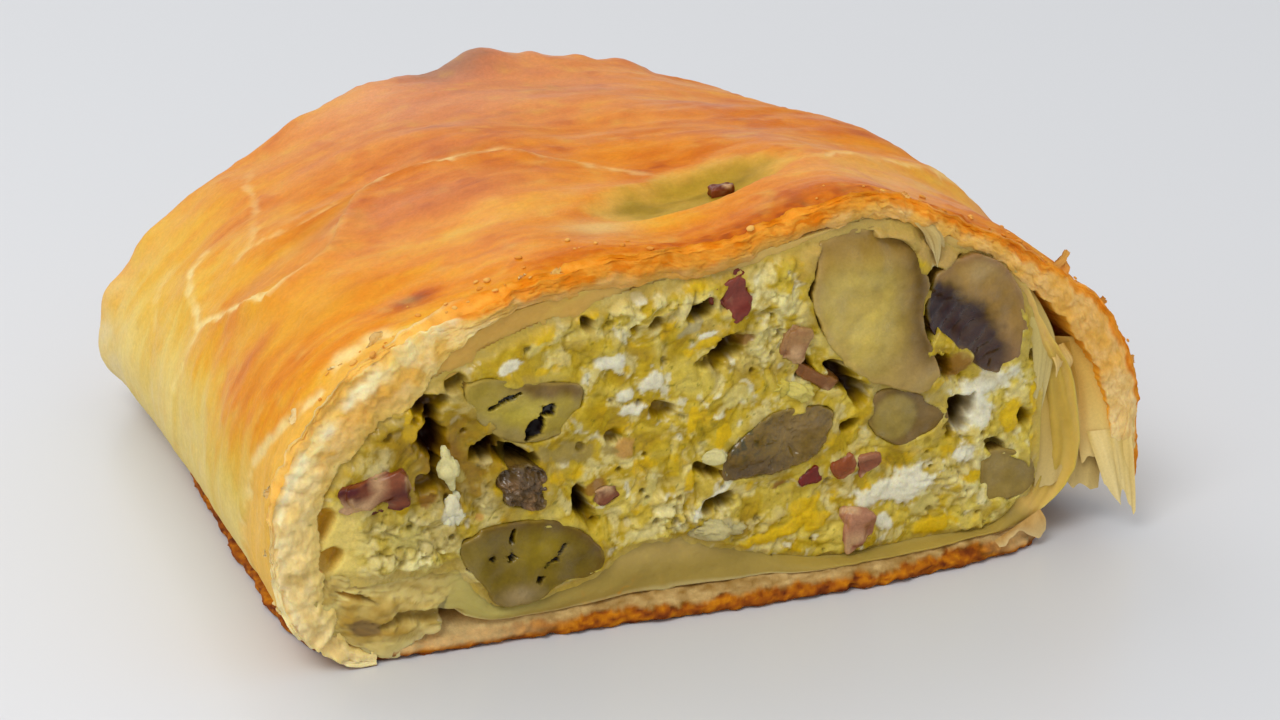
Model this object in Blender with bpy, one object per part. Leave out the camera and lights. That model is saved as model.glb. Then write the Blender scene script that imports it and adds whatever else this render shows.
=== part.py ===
"""Mushroom puff pastry pie: the end piece of a baked, filled pastry roll, cut across.

Metres, +Z up. The roll lies along Y. The cut face looks towards -Y and shows the scrambled egg filling
with its mushrooms and bacon; the far end, at +Y, is closed and pinched. The pastry is one shell with a
cavity, the filling is one heap that runs through it, and each mushroom and bacon piece is its own solid.
"""

import math
import random

import bmesh
import bpy
import numpy as np
from mathutils import Matrix, Vector

# The roll, at the cut and along its length.
LENGTH = 0.097
LEFT_EDGE, RIGHT_EDGE = -0.0564, 0.0549
CROWN_X, CROWN_Z = 0.004, 0.0452
END_ROUNDING = 0.013
# The crust's walls.
WALL_TOP, WALL_LEFT = 0.0040, 0.0050
CAVITY_RIGHT = 0.0398
END_WALL = 0.010
GAP = 0.00035
# The dough under the filling: its least thickness on the right and on the left, the step up at the far
# left and the swelling left of the middle, which is where the seam lies.
FLOOR_RIGHT, FLOOR_LEFT = 0.0028, 0.0043
FLOOR_STEP, FLOOR_STEP_X = 0.0064, -0.0325
FLOOR_SWELL, FLOOR_SWELL_X = 0.0052, -0.0095
# How far the base stands out in front of the cut, right of the middle.
SHELF_OUT, SHELF_X = 0.0034, 0.0160
# Points on each stretch of an outline: floor, foot and shoulder, on the left and on the right.
STRETCHES = (10, 4, 18, 18, 4, 10)
# Depths behind the cut of the rings of the outer face and of the cavity.
OUTER_DEPTHS = (0.0, 0.003, 0.0065, 0.010, 0.0135, 0.0175, 0.0215, 0.0255, 0.030, 0.035, 0.0405, 0.047, 0.054,
                0.061, 0.068, 0.0745, 0.079, 0.0825, 0.086, 0.0895, 0.0925, 0.095, 0.0964, 0.097)
CAVITY_DEPTHS = (0.0, 0.008, 0.022, 0.042, 0.062, 0.073, 0.080, 0.0845, 0.0864)
BARE_FRONT = 0.0010
SEED = 7

# Folds of the crust, as (distance along the surface from the crown line, depth behind the cut), and with
# each its width and height.
SIDE_FOLD = ((-0.068, 0.046), (-0.060, 0.037), (-0.050, 0.030), (-0.042, 0.032), (-0.034, 0.040),
             (-0.021, 0.043), (-0.012, 0.041), (-0.006, 0.033), (-0.002, 0.025))
RIGHT_FOLD = ((0.012, 0.017), (0.022, 0.020), (0.036, 0.024), (0.052, 0.021))
CUT_CRACK = ((-0.078, 0.016), (-0.072, 0.011), (-0.066, 0.006), (-0.059, 0.003))
FOLDS = ((SIDE_FOLD, 0.0030, 0.0012), (RIGHT_FOLD, 0.0026, 0.0010), (CUT_CRACK, 0.0020, 0.0006))
# The slash that opened in baking: its middle, half length, half width, depth and turn.
SLASH_S, SLASH_Y = -0.002, 0.0175
SLASH_LONG, SLASH_WIDE, SLASH_DEEP = 0.0135, 0.0046, 0.0024
SLASH_TURN = 0.10
# Pinched tips along the closed end: distance from the crown line, depth, height and radius.
TIPS = ((0.0030, 0.0860, 0.0028, 0.0046), (0.025, 0.0850, 0.0010, 0.0034), (-0.013, 0.0860, 0.0008, 0.0040))
# Flakes that stand off the crust: root (x, y, z), tip relative to it, and half width.
FLAKES = (
    ((0.0418, 0.0020, 0.0346), (0.0008, -0.0004, 0.0032), 0.0013),
    ((0.0376, 0.0170, 0.0392), (0.0022, -0.0008, 0.0018), 0.0015),
    ((-0.0490, 0.0022, 0.0052), (-0.0022, -0.0032, -0.0026), 0.0020),
    ((0.0514, 0.0010, 0.0060), (0.0008, -0.0034, -0.0056), 0.0013),
    ((0.0500, 0.0020, 0.0046), (-0.0004, -0.0010, -0.0040), 0.0012),
)

# Mushroom pieces in the cut face: name, middle x and z, half width and height, lean in degrees,
# squareness, taper towards the top, sideways bend of the foot, how deep they reach and how far they stand
# out of the cut.
MUSHROOMS = (
    ("mushroom_large_slice", 0.0158, 0.0336, 0.0072, 0.0100, 0, 2.9, 0.10, 1.05, 0.012, 0.0018),
    ("mushroom_gilled_cap", 0.0305, 0.0306, 0.0076, 0.0048, -44, 2.4, -0.12, 0.00, 0.010, 0.0012),
    ("mushroom_left_half", -0.0268, 0.0290, 0.0068, 0.0041, -11, 2.6, 0.16, 0.00, 0.009, 0.0012),
    ("mushroom_low_slice", -0.0262, 0.0104, 0.0086, 0.0046, -12, 2.5, 0.10, 0.00, 0.009, 0.0016),
    ("mushroom_wet_slice", 0.0048, 0.0194, 0.0076, 0.0037, 20, 2.3, 0.08, 0.20, 0.009, 0.0010),
    ("mushroom_stem", 0.0214, 0.0195, 0.0058, 0.0032, -12, 2.4, 0.00, 0.00, 0.009, 0.0006),
    ("mushroom_right_end", 0.0358, 0.0100, 0.0034, 0.0035, -8, 2.5, 0.00, 0.00, 0.008, 0.0008),
    ("mushroom_dark_bit", -0.0274, 0.0184, 0.0031, 0.0024, -38, 2.3, 0.00, 0.00, 0.006, 0.0012),
)
# Bacon bits: name, middle x and z, half sizes in x and z, lean in degrees, half depth and how far out.
BACON = (
    ("bacon_top", -0.0010, 0.0379, 0.0022, 0.0022, 35, 0.0025, 0.0016),
    ("bacon_left", -0.0442, 0.0213, 0.0038, 0.0019, 8, 0.0026, 0.0014),
    ("bacon_floor", 0.0156, 0.0062, 0.0021, 0.0024, 2, 0.0025, 0.0014),
    ("bacon_centre", -0.0166, 0.0160, 0.0023, 0.0016, -12, 0.0022, 0.0010),
    ("bacon_round", 0.0086, 0.0142, 0.0014, 0.0010, 20, 0.0015, 0.0010),
    ("bacon_orange", 0.0132, 0.0149, 0.0014, 0.0013, 20, 0.0016, 0.0010),
    ("bacon_pink", 0.0167, 0.0149, 0.0017, 0.0011, 18, 0.0018, 0.0010),
    ("bacon_pale", 0.0066, 0.0312, 0.0015, 0.0020, -20, 0.0020, 0.0010),
    ("bacon_strip", 0.0096, 0.0266, 0.0029, 0.0009, -32, 0.0016, 0.0004),
)
# The bit in the slash: middle x and y, and three half sizes.
SLASH_BACON = (0.0047, 0.0173, 0.0019, 0.0014, 0.0011)

# Dark hollows of the filling: middle x and z, half sizes in x and z, lean in degrees.
HOLLOWS = (
    (-0.0376, 0.0274, 0.0012, 0.0040, 8), (-0.0386, 0.0213, 0.0012, 0.0010, 0),
    (-0.0318, 0.0238, 0.0011, 0.0011, 0), (-0.0285, 0.0229, 0.0024, 0.0009, -32),
    (-0.0198, 0.0150, 0.0009, 0.0022, 22), (-0.0160, 0.0232, 0.0011, 0.0008, 20),
    (-0.0093, 0.0255, 0.0017, 0.0009, -25), (-0.0053, 0.0372, 0.0019, 0.0008, 22),
    (-0.0107, 0.0361, 0.0009, 0.0006, 20), (-0.0190, 0.0375, 0.0010, 0.0006, -20),
    (-0.0020, 0.0318, 0.0026, 0.0010, 28), (0.0135, 0.0245, 0.0026, 0.0010, -42),
    (-0.0027, 0.0128, 0.0022, 0.0009, 15), (0.0285, 0.0195, 0.0008, 0.0030, 4),
    (0.0376, 0.0168, 0.0006, 0.0016, 6), (-0.0490, 0.0140, 0.0013, 0.0010, 15),
)


def rising(value, low, high):
    """0 below low, 1 above high, and a smooth rise between."""
    share = np.clip((value - low) / (high - low), 0, 1)
    return share * share * (3 - 2 * share)


def bell(offset, width):
    """1 at no offset, falling away smoothly over the width."""
    return np.exp(-((offset / width) ** 2))


def quarter(centre, reach, power, count):
    """Evenly spaced points of a superellipse quarter, from its side to its top, with the last left out."""
    angle = np.linspace(0, math.pi / 2, 300)
    x = centre[0] + reach[0] * np.cos(angle) ** (2 / power)
    z = centre[1] + reach[1] * np.sin(angle) ** (2 / power)
    run = np.concatenate([[0], np.cumsum(np.hypot(np.diff(x), np.diff(z)))])
    at = np.linspace(0, run[-1], count + 1)
    return np.interp(at, run, x), np.interp(at, run, z)


def outline(sides, middle, heights, powers, feet, floor):
    """A closed D-shaped outline from the middle of its floor round the left, over the top and back.

    sides are the left and right x, middle the (x, z) of the crown, heights the z of the widest points,
    powers those of the two shoulders, feet the widths of the two lower corners, and floor the z at an x."""
    left_in, right_in = sides[0] + feet[0], sides[1] - feet[1]
    left_drop, right_drop = floor(left_in) - heights[0], floor(right_in) - heights[1]
    stretches = []
    x = np.linspace(middle[0], left_in, STRETCHES[0] + 1)
    stretches.append((x, floor(x)))
    x, z = quarter((left_in, heights[0]), (-feet[0], left_drop), 2.3, STRETCHES[1])
    stretches.append((x[::-1], z[::-1]))
    reach = (sides[0] - middle[0], middle[1] - heights[0])
    x, z = quarter((middle[0], heights[0]), reach, powers[0], STRETCHES[2])
    stretches.append((x, z))
    reach = (sides[1] - middle[0], middle[1] - heights[1])
    x, z = quarter((middle[0], heights[1]), reach, powers[1], STRETCHES[3])
    stretches.append((x[::-1], z[::-1]))
    x, z = quarter((right_in, heights[1]), (feet[1], right_drop), 2.6, STRETCHES[4])
    stretches.append((x, z))
    x = np.linspace(right_in, middle[0], STRETCHES[5] + 1)
    stretches.append((x, floor(x)))
    points = np.concatenate([np.stack(stretch)[:, :-1] for stretch in stretches], axis=1)
    return points[0], points[1]


def swells(x, y, z):
    """The crown's two swellings: one at the cut, one along the right shoulder."""
    at_cut = 0.0040 * bell(x - 0.0165, 0.010) * bell(y, 0.030)
    on_right = 0.0038 * bell(x - 0.033, 0.014) * bell(y - 0.037, 0.022)
    return (z > 0.020) * (at_cut + on_right)


def crust_outline(y):
    back = rising(y, 0, LENGTH)
    sides = (LEFT_EDGE + 0.0008 * math.sin(math.pi * y / LENGTH), RIGHT_EDGE - 0.006 * back)
    crown = (CROWN_X - 0.009 * back, CROWN_Z + 0.0006 * bell(y - 0.045, 0.026) - 0.0016 * back)
    powers = (2.65 - 1.02 * back, 2.05 + 0.16 * bell(y, 0.02) + 0.50 * bell(y - 0.068, 0.036))
    heights = (0.015 - 0.003 * back, 0.0115)
    x, z = outline(sides, crown, heights, powers, (0.0125, 0.0135), lambda at: 0.0 * at)
    z = z + swells(x, y, z)
    past = min(max(0.0, (y - (LENGTH - END_ROUNDING)) / END_ROUNDING), 1.0)
    x = 0.002 + (x - 0.002) * max((1 - past**3.0) ** 0.25, 0.06)
    return x, z * max((1 - past**2.2) ** 0.385, 0.12)


def cavity_floor(x, y):
    """Height of the dough under the filling."""
    floor = FLOOR_LEFT + (FLOOR_RIGHT - FLOOR_LEFT) * rising(x, 0.0, 0.014)
    floor = floor + FLOOR_STEP * (1 - rising(x, FLOOR_STEP_X - 0.002, FLOOR_STEP_X + 0.002))
    floor = floor + FLOOR_SWELL * bell(x - FLOOR_SWELL_X, 0.0090)
    return floor + (0.0055 - floor) * rising(y, 0.012, 0.060)


def cavity_outline(y, shrink=0.0):
    """The inner face of the crust at depth y; the filling is the same, shrunk by the gap."""
    back = rising(y, 0, LENGTH)
    sides = (LEFT_EDGE + WALL_LEFT + shrink, CAVITY_RIGHT - 0.006 * back - shrink)
    crown = (CROWN_X - 0.009 * back, CROWN_Z - WALL_TOP - 0.0024 * back - shrink)
    powers = (1.95 - 0.25 * back, 3.4 - 1.2 * back)
    floor = lambda at: cavity_floor(at, y) + shrink
    x, z = outline(sides, crown, (0.0165, 0.0145), powers, (0.0060, 0.0080), floor)
    z = z + 0.8 * swells(x, y, z)
    end = LENGTH - END_WALL
    past = min(max(0.0, (y - (end - END_ROUNDING)) / END_ROUNDING), 1.0)
    x = 0.002 + (x - 0.002) * max((1 - past**2.4) ** 0.35, 0.10)
    return x, 0.015 + (z - 0.015) * max((1 - past**2.4) ** 0.40, 0.10)


def distance_to_path(s, y, path):
    """Distance from each (s, y) to a path of straight runs, and how far along it the nearest point is."""
    nearest = np.full(np.shape(s), 1.0)
    along = np.zeros(np.shape(s))
    runs = len(path) - 1
    for i in range(runs):
        (s0, y0), (s1, y1) = path[i], path[i + 1]
        length_squared = (s1 - s0) ** 2 + (y1 - y0) ** 2
        t = np.clip(((s - s0) * (s1 - s0) + (y - y0) * (y1 - y0)) / length_squared, 0, 1)
        away = np.hypot(s - (s0 + t * (s1 - s0)), y - (y0 + t * (y1 - y0)))
        along = np.where(away < nearest, (i + t) / runs, along)
        nearest = np.minimum(nearest, away)
    return nearest, along


def slash_depth(s, y):
    """1 in the middle of the slash, 0 at its lip."""
    ds, dy = s - SLASH_S, y - SLASH_Y
    long = (ds * math.cos(SLASH_TURN) + dy * math.sin(SLASH_TURN)) / SLASH_LONG
    wide = (dy * math.cos(SLASH_TURN) - ds * math.sin(SLASH_TURN)) / SLASH_WIDE
    return np.clip(1.25 - (np.abs(long) ** 1.6 + np.abs(wide) ** 2.2), 0, 1)


def relief(s, y):
    """How far the crust stands out of its plain form at distance s from the crown line and depth y."""
    top = bell(s, 0.075)
    height = 0.0007 * top * np.sin(s * 210 + y * 95) * np.sin(y * 130 + 0.6)
    for path, width, lift in FOLDS:
        away, along = distance_to_path(s, y, path)
        height = height + lift * bell(away, width) * np.sin(math.pi * np.clip(along * 0.9 + 0.05, 0, 1))
    height = height - SLASH_DEEP * slash_depth(s, y)
    for tip_s, tip_y, tip_high, tip_radius in TIPS:
        height = height + tip_high * bell(np.hypot(s - tip_s, y - tip_y), tip_radius)
    return height * np.clip((y - 0.0005) / 0.004, 0.25, 1)


def from_crown(x, z):
    """Signed distance along a ring from the crown line, negative to the left."""
    crown = sum(STRETCHES[:3])
    run = np.concatenate([[0], np.cumsum(np.hypot(np.diff(x), np.diff(z)))])
    return run - run[crown]


def cut_edge(s):
    """How far the crust's broken edge lies behind the cut plane, round the ring."""
    torn = 0.0006 * np.sin(s * 470) + 0.0005 * np.sin(s * 290 + 2.0)
    left_bevel = 0.0026 * bell(s + 0.055, 0.022)
    return 0.0012 + left_bevel + torn


def shelf(x, z):
    """How far the base stands out in front of the cut."""
    return SHELF_OUT * bell(x - SHELF_X, 0.020) * (1 - rising(z, 0.0012, 0.0050))


def crust_rings():
    """Rings of the outer surface, front to back, with the relief added along the normals."""
    rings = []
    for depth in OUTER_DEPTHS:
        x, z = crust_outline(depth)
        s = from_crown(x, z)
        y = depth + (cut_edge(s) - shelf(x, z)) * max(0.0, 1 - depth / 0.010)
        rings.append((np.stack([x, y, z], axis=1), s))
    points = np.array([ring for ring, s in rings])
    around = np.roll(points, -1, axis=1) - np.roll(points, 1, axis=1)
    along = np.gradient(points, axis=0)
    normals = np.cross(along, around)
    normals /= np.linalg.norm(normals, axis=2, keepdims=True) + 1e-12
    if normals[3, sum(STRETCHES[:3]), 2] < 0:
        normals = -normals
    lift = np.array([relief(s, ring[:, 1]) for ring, s in rings])
    lift *= np.clip((points[..., 2] - 0.002) / 0.010, 0, 1)
    points = points + normals * lift[..., None]
    return points


def cut_face_rings():
    """Rings between the crust's outer edge and its inner edge, over the torn cut."""
    outer_x, outer_z = crust_outline(0.0)
    inner_x, inner_z = cavity_outline(0.0)
    s = from_crown(outer_x, outer_z)
    rings = []
    for share in (0.18, 0.5, 0.85):
        x = outer_x + (inner_x - outer_x) * share
        z = outer_z + (inner_z - outer_z) * share
        layers = 0.0005 * np.sin(s * 340 + share * 9)
        y = cut_edge(s) * (1 - share) ** 1.3 - 0.0012 * math.sin(math.pi * share) + layers + 0.0006
        y = y - shelf(x, z)
        rings.append(np.stack([x, y, z], axis=1))
    return rings


def cavity_rings(shrink, front):
    rings = []
    for depth in CAVITY_DEPTHS:
        x, z = cavity_outline(depth, shrink)
        y = max(depth, front) - shrink * (depth > 0.080)
        rings.append(np.stack([x, np.full(len(x), y), z], axis=1))
    return rings


def lofted(name, rings):
    """A closed mesh through rings of equally many points, with its two ends filled."""
    shape = bmesh.new()
    loops = [[shape.verts.new(point) for point in ring] for ring in rings]
    count = len(loops[0])
    for near, far in zip(loops, loops[1:]):
        for i in range(count):
            j = (i + 1) % count
            shape.faces.new((near[i], near[j], far[j], far[i]))
    shape.faces.new(loops[0][::-1])
    shape.faces.new(loops[-1])
    bmesh.ops.triangulate(shape, faces=[face for face in shape.faces if len(face.verts) > 4])
    bmesh.ops.recalc_face_normals(shape, faces=shape.faces)
    return as_object(name, shape)


def as_object(name, shape, collection=None):
    mesh = bpy.data.meshes.new(name)
    shape.to_mesh(mesh)
    shape.free()
    made = bpy.data.objects.new(name, mesh)
    (collection or bpy.context.scene.collection).objects.link(made)
    return made


def painted(made, colour, roughness):
    material = bpy.data.materials.new(made.name)
    material.use_nodes = True
    surface = material.node_tree.nodes["Principled BSDF"]
    surface.inputs["Base Color"].default_value = (*colour, 1)
    surface.inputs["Roughness"].default_value = roughness
    made.data.materials.append(material)
    made.data.shade_smooth()
    made.data.set_sharp_from_angle(angle=math.radians(50))
    return made


def as_cutter(made):
    made.hide_render = True
    made.display_type = "WIRE"
    return made


def apply_modifiers(made):
    """Bakes the modifiers into the object's own mesh."""
    graph = bpy.context.evaluated_depsgraph_get()
    mesh = bpy.data.meshes.new_from_object(made.evaluated_get(graph))
    made.modifiers.clear()
    made.data = mesh


def boolean(made, operation, collection, solver="EXACT"):
    """One Boolean with every object of a collection, applied, with those objects then removed."""
    step = made.modifiers.new(operation.title(), "BOOLEAN")
    step.operation = operation
    step.operand_type = "COLLECTION"
    step.collection = collection
    step.solver = solver
    apply_modifiers(made)
    for helper in list(collection.objects):
        bpy.data.objects.remove(helper)
    bpy.data.collections.remove(collection)


def new_collection(name):
    made = bpy.data.collections.new(name)
    bpy.context.scene.collection.children.link(made)
    return made


def ellipsoid(name, centre, halves, turn, subdivisions, collection):
    """An icosphere with three half sizes, leaned about Y."""
    shape = bmesh.new()
    bmesh.ops.create_icosphere(shape, subdivisions=subdivisions, radius=1.0)
    shape.transform(Matrix.Translation(centre) @ Matrix.Rotation(turn, 4, "Y") @ Matrix.Diagonal((*halves, 1)))
    return as_object(name, shape, collection)


def add_flake(number, root, reach, half_width, collection):
    """A thin pointed flake, rooted in the crust."""
    shape = bmesh.new()
    bmesh.ops.create_cone(shape, cap_ends=True, segments=5, radius1=1.0, radius2=0.25, depth=1.0)
    bmesh.ops.triangulate(shape, faces=shape.faces)
    length = Vector(reach).length + 0.0012
    along = Vector(reach).normalized()
    turn = along.to_track_quat("Z", "X").to_matrix().to_4x4()
    size = Matrix.Diagonal((half_width, half_width * 0.4, length, 1))
    middle = Vector(root) + Vector(reach) / 2 - along * 0.0006
    shape.transform(Matrix.Translation(middle) @ turn @ size)
    as_object(f"flake_{number}", shape, collection)


def make_crust():
    """The pastry: one shell with a torn cut edge, a pocket behind its free flap, and a slash on top."""
    outer = list(crust_rings())
    inner = cavity_rings(0.0, 0.0004)
    crust = lofted("pastry_crust", outer[::-1] + cut_face_rings() + inner)
    cutters = new_collection("crust_cutters")
    pocket = ellipsoid("flap_pocket", (0.0443, -0.001, 0.0215), (0.0022, 0.018, 0.0130), -0.40, 3, cutters)
    scoop = ellipsoid("flap_scoop", (0.0450, -0.001, -0.0004), (0.0050, 0.022, 0.0056), 0.0, 3, cutters)
    for cutter in (pocket, scoop):
        as_cutter(cutter)
    boolean(crust, "DIFFERENCE", cutters)
    flakes = new_collection("flakes")
    for number, (root, reach, half_width) in enumerate(FLAKES):
        add_flake(number, root, reach, half_width, flakes)
    boolean(crust, "UNION", flakes)
    keep_largest(crust)
    return painted(crust, (0.80, 0.42, 0.12), 0.45)


def in_filling(x, z, margin):
    """Whether a point of the cut face lies inside the filling, at least margin from its rim."""
    rim_x, rim_z = cavity_outline(0.0, GAP + margin)
    inside = False
    for i in range(len(rim_x)):
        x0, z0, x1, z1 = rim_x[i - 1], rim_z[i - 1], rim_x[i], rim_z[i]
        if (z0 > z) != (z1 > z) and x < x0 + (z - z0) / (z1 - z0) * (x1 - x0):
            inside = not inside
    return inside


def near_piece(x, z, margin):
    """Whether a point of the cut face is on a mushroom or bacon piece, or within margin of it."""
    for piece in MUSHROOMS:
        if on_piece(x, z, piece[1], piece[2], piece[3] + margin, piece[4] + margin, piece[5]):
            return True
    for piece in BACON:
        if on_piece(x, z, piece[1], piece[2], piece[3] + margin, piece[4] + margin, piece[5]):
            return True
    return False


def on_piece(x, z, middle_x, middle_z, half_x, half_z, lean):
    turn = math.radians(lean)
    dx, dz = x - middle_x, z - middle_z
    across = dx * math.cos(turn) + dz * math.sin(turn)
    up = dz * math.cos(turn) - dx * math.sin(turn)
    return (across / half_x) ** 2 + (up / half_z) ** 2 < 1


def add_curds(collection):
    """Lumps of scrambled egg on the cut face, on a shaken grid, clear of the mushrooms and the bacon."""
    draw = random.Random(SEED)
    spacing = 0.0066
    for row in range(8):
        for column in range(15):
            x = -0.047 + spacing * (column + 0.5 * (row % 2)) + draw.uniform(-0.0012, 0.0012)
            z = 0.0115 + 0.78 * spacing * row + draw.uniform(-0.0010, 0.0010)
            halves = (draw.uniform(0.0024, 0.0042), draw.uniform(0.0016, 0.0028), draw.uniform(0.0018, 0.0030))
            turn = draw.uniform(-1.2, 1.2)
            if not in_filling(x, z, max(halves[0], halves[2]) - 0.0005) or near_piece(x, z, 0.0006):
                continue
            centre = (x, BARE_FRONT + 0.0003, z)
            ellipsoid(f"curd_{row}_{column}", centre, halves, turn, 1, collection)


def make_filling():
    """The egg filling: a core that fills the cavity, curds fused on at the cut, and pockets for the pieces."""
    filling = lofted("egg_filling", cavity_rings(GAP, BARE_FRONT))
    curds = new_collection("curds")
    add_curds(curds)
    boolean(filling, "UNION", curds, "MANIFOLD")
    cutters = new_collection("filling_cutters")
    for pocket in make_pieces(GAP, "_pocket"):
        bpy.context.scene.collection.objects.unlink(pocket)
        cutters.objects.link(pocket)
        as_cutter(pocket)
    for number, (x, z, half_x, half_z, lean) in enumerate(HOLLOWS):
        turn = -math.radians(lean)
        hollow = ellipsoid(f"hollow_{number}", (x, 0.0, z), (half_x, 0.005, half_z), turn, 2, cutters)
        as_cutter(hollow)
    boolean(filling, "DIFFERENCE", cutters)
    keep_largest(filling)
    return painted(filling, (0.76, 0.66, 0.20), 0.5)


def keep_largest(made):
    """Drops the loose scraps that cutting leaves."""
    shape = bmesh.new()
    shape.from_mesh(made.data)
    islands, seen = [], set()
    for start in shape.verts:
        if start in seen:
            continue
        island, waiting = [], [start]
        seen.add(start)
        while waiting:
            vertex = waiting.pop()
            island.append(vertex)
            for edge in vertex.link_edges:
                other = edge.other_vert(vertex)
                if other not in seen:
                    seen.add(other)
                    waiting.append(other)
        islands.append(island)
    islands.sort(key=len)
    scraps = [vertex for island in islands[:-1] for vertex in island]
    bmesh.ops.delete(shape, geom=scraps, context="VERTS")
    shape.to_mesh(made.data)
    shape.free()


def make_mushroom(name, middle, halves, lean, form, deep, proud):
    """A piece of mushroom: a rounded outline swept back from the cut, domed at the front.

    form is the outline's squareness, its taper towards the top and the sideways bend of its foot."""
    power, taper, bend = form
    around = 16
    rows = ((-1.0, 0.40), (-0.84, 0.78), (-0.35, 0.99), (0.30, 0.97), (0.80, 0.74), (1.0, 0.38))
    angles = np.linspace(0, 2 * math.pi, around, endpoint=False)
    across = np.sign(np.cos(angles)) * np.abs(np.cos(angles)) ** (2 / power)
    up = np.sign(np.sin(angles)) * np.abs(np.sin(angles)) ** (2 / power)
    across = across * (1 + taper * up) + bend * np.minimum(up, 0) ** 2
    turn = math.radians(lean)
    rings = []
    for depth, size in rows:
        y = -proud + (deep + proud) * (depth + 1) / 2
        dx, dz = halves[0] * size * across, halves[1] * size * up
        x = middle[0] + dx * math.cos(turn) - dz * math.sin(turn)
        z = middle[1] + dx * math.sin(turn) + dz * math.cos(turn)
        rings.append(np.stack([x, np.full(around, y), z], axis=1))
    return painted(lofted(name, rings), (0.50, 0.42, 0.22), 0.35)


def make_bacon(name, suffix, centre, halves, lean):
    """A diced bacon bit: a small block with worn edges, a little askew."""
    shape = bmesh.new()
    bmesh.ops.create_cube(shape, size=2.0)
    draw = random.Random(name)
    for vertex in shape.verts:
        vertex.co *= draw.uniform(0.84, 1.0)
    bmesh.ops.bevel(shape, geom=shape.edges[:], offset=0.28, segments=1, affect="EDGES")
    bmesh.ops.triangulate(shape, faces=shape.faces)
    shape.transform(Matrix.Translation(centre) @ Matrix.Rotation(-lean, 4, "Y") @ Matrix.Diagonal((*halves, 1)))
    return painted(as_object(name + suffix, shape), (0.42, 0.13, 0.10), 0.4)


def make_pieces(grow=0.0, suffix=""):
    """The mushroom and bacon pieces that show in the cut face, or their pockets, larger all round."""
    pieces = []
    for name, x, z, half_x, half_z, lean, power, taper, bend, deep, proud in MUSHROOMS:
        halves = (half_x + grow, half_z + grow)
        form = (power, taper, bend)
        pieces.append(make_mushroom(name + suffix, (x, z), halves, lean, form, deep + grow, proud + grow))
    for name, x, z, half_x, half_z, lean, half_y, proud in BACON:
        centre = (x, half_y - proud, z)
        halves = (half_x + grow, half_y + grow, half_z + grow)
        pieces.append(make_bacon(name, suffix, centre, halves, math.radians(lean)))
    return pieces


def make_slash_bacon(crust):
    """The bit that shows in the slash, resting on its floor."""
    x, y, half_x, half_y, half_z = SLASH_BACON
    graph = bpy.context.evaluated_depsgraph_get()
    heights = []
    for dx in (-half_x, 0, half_x):
        for dy in (-half_y, 0, half_y):
            above = Vector((x + dx, y + dy, 0.1))
            hit, place, normal, face = crust.evaluated_get(graph).ray_cast(above, Vector((0, 0, -1)))
            heights.append(place.z)
    centre = (x, y, max(heights) + half_z + GAP)
    return make_bacon("bacon_in_slash", "", centre, (half_x, half_y, half_z), 0.1)


def centre_on_origin(objects):
    """Moves the model so that the middle of its box is over the origin and it stands on Z = 0."""
    bpy.context.view_layer.update()
    corners = [made.matrix_world @ Vector(corner) for made in objects for corner in made.bound_box]
    low = Vector([min(corner[i] for corner in corners) for i in range(3)])
    high = Vector([max(corner[i] for corner in corners) for i in range(3)])
    shift = Vector((-(low.x + high.x) / 2, -(low.y + high.y) / 2, -low.z))
    for made in objects:
        made.data.transform(Matrix.Translation(shift))
    print("moved by", [round(value, 6) for value in shift])


def main():
    for made in list(bpy.data.objects):
        bpy.data.objects.remove(made)
    crust = make_crust()
    pieces = make_pieces()
    filling = make_filling()
    slash_bacon = make_slash_bacon(crust)
    centre_on_origin([crust, filling, slash_bacon, *pieces])


main()
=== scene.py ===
"""Looks of the mushroom puff pastry pie: the end piece of a baked pastry roll, cut across.

The meshes are worked out in millimetres, in the roll's own frame: x to the right along the cut face, y back
from the cut, z up from the plate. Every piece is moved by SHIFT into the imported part's frame and turned into
metres when its mesh is made. Colours are given as they look in the photograph, 0 to 255, and made linear.
"""

import math

import bpy
import numpy as np
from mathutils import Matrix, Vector


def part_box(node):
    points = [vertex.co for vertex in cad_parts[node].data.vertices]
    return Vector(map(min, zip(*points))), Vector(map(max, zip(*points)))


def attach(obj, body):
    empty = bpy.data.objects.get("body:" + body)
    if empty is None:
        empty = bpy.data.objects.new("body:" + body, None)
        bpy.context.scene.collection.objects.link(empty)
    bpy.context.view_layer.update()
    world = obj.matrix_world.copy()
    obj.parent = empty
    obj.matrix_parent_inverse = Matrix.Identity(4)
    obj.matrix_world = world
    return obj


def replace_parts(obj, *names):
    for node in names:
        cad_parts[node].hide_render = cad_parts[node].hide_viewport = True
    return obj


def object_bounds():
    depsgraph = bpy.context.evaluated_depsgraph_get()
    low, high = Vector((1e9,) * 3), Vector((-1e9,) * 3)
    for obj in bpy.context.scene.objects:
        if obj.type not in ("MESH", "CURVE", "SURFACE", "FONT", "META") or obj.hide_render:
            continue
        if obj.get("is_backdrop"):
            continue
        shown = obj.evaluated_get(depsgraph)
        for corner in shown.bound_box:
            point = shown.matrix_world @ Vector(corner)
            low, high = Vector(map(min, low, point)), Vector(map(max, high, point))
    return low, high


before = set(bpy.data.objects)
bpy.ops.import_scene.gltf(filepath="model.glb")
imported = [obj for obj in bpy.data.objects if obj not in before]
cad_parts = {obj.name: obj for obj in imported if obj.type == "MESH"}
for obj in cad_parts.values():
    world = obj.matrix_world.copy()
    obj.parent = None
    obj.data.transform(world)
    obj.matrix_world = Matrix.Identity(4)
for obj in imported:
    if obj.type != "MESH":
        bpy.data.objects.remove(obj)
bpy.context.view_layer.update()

# From the roll's frame in millimetres to the part's frame in metres.
MM = 0.001
SHIFT = np.array([0.702, -46.583, 0.0])

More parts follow.
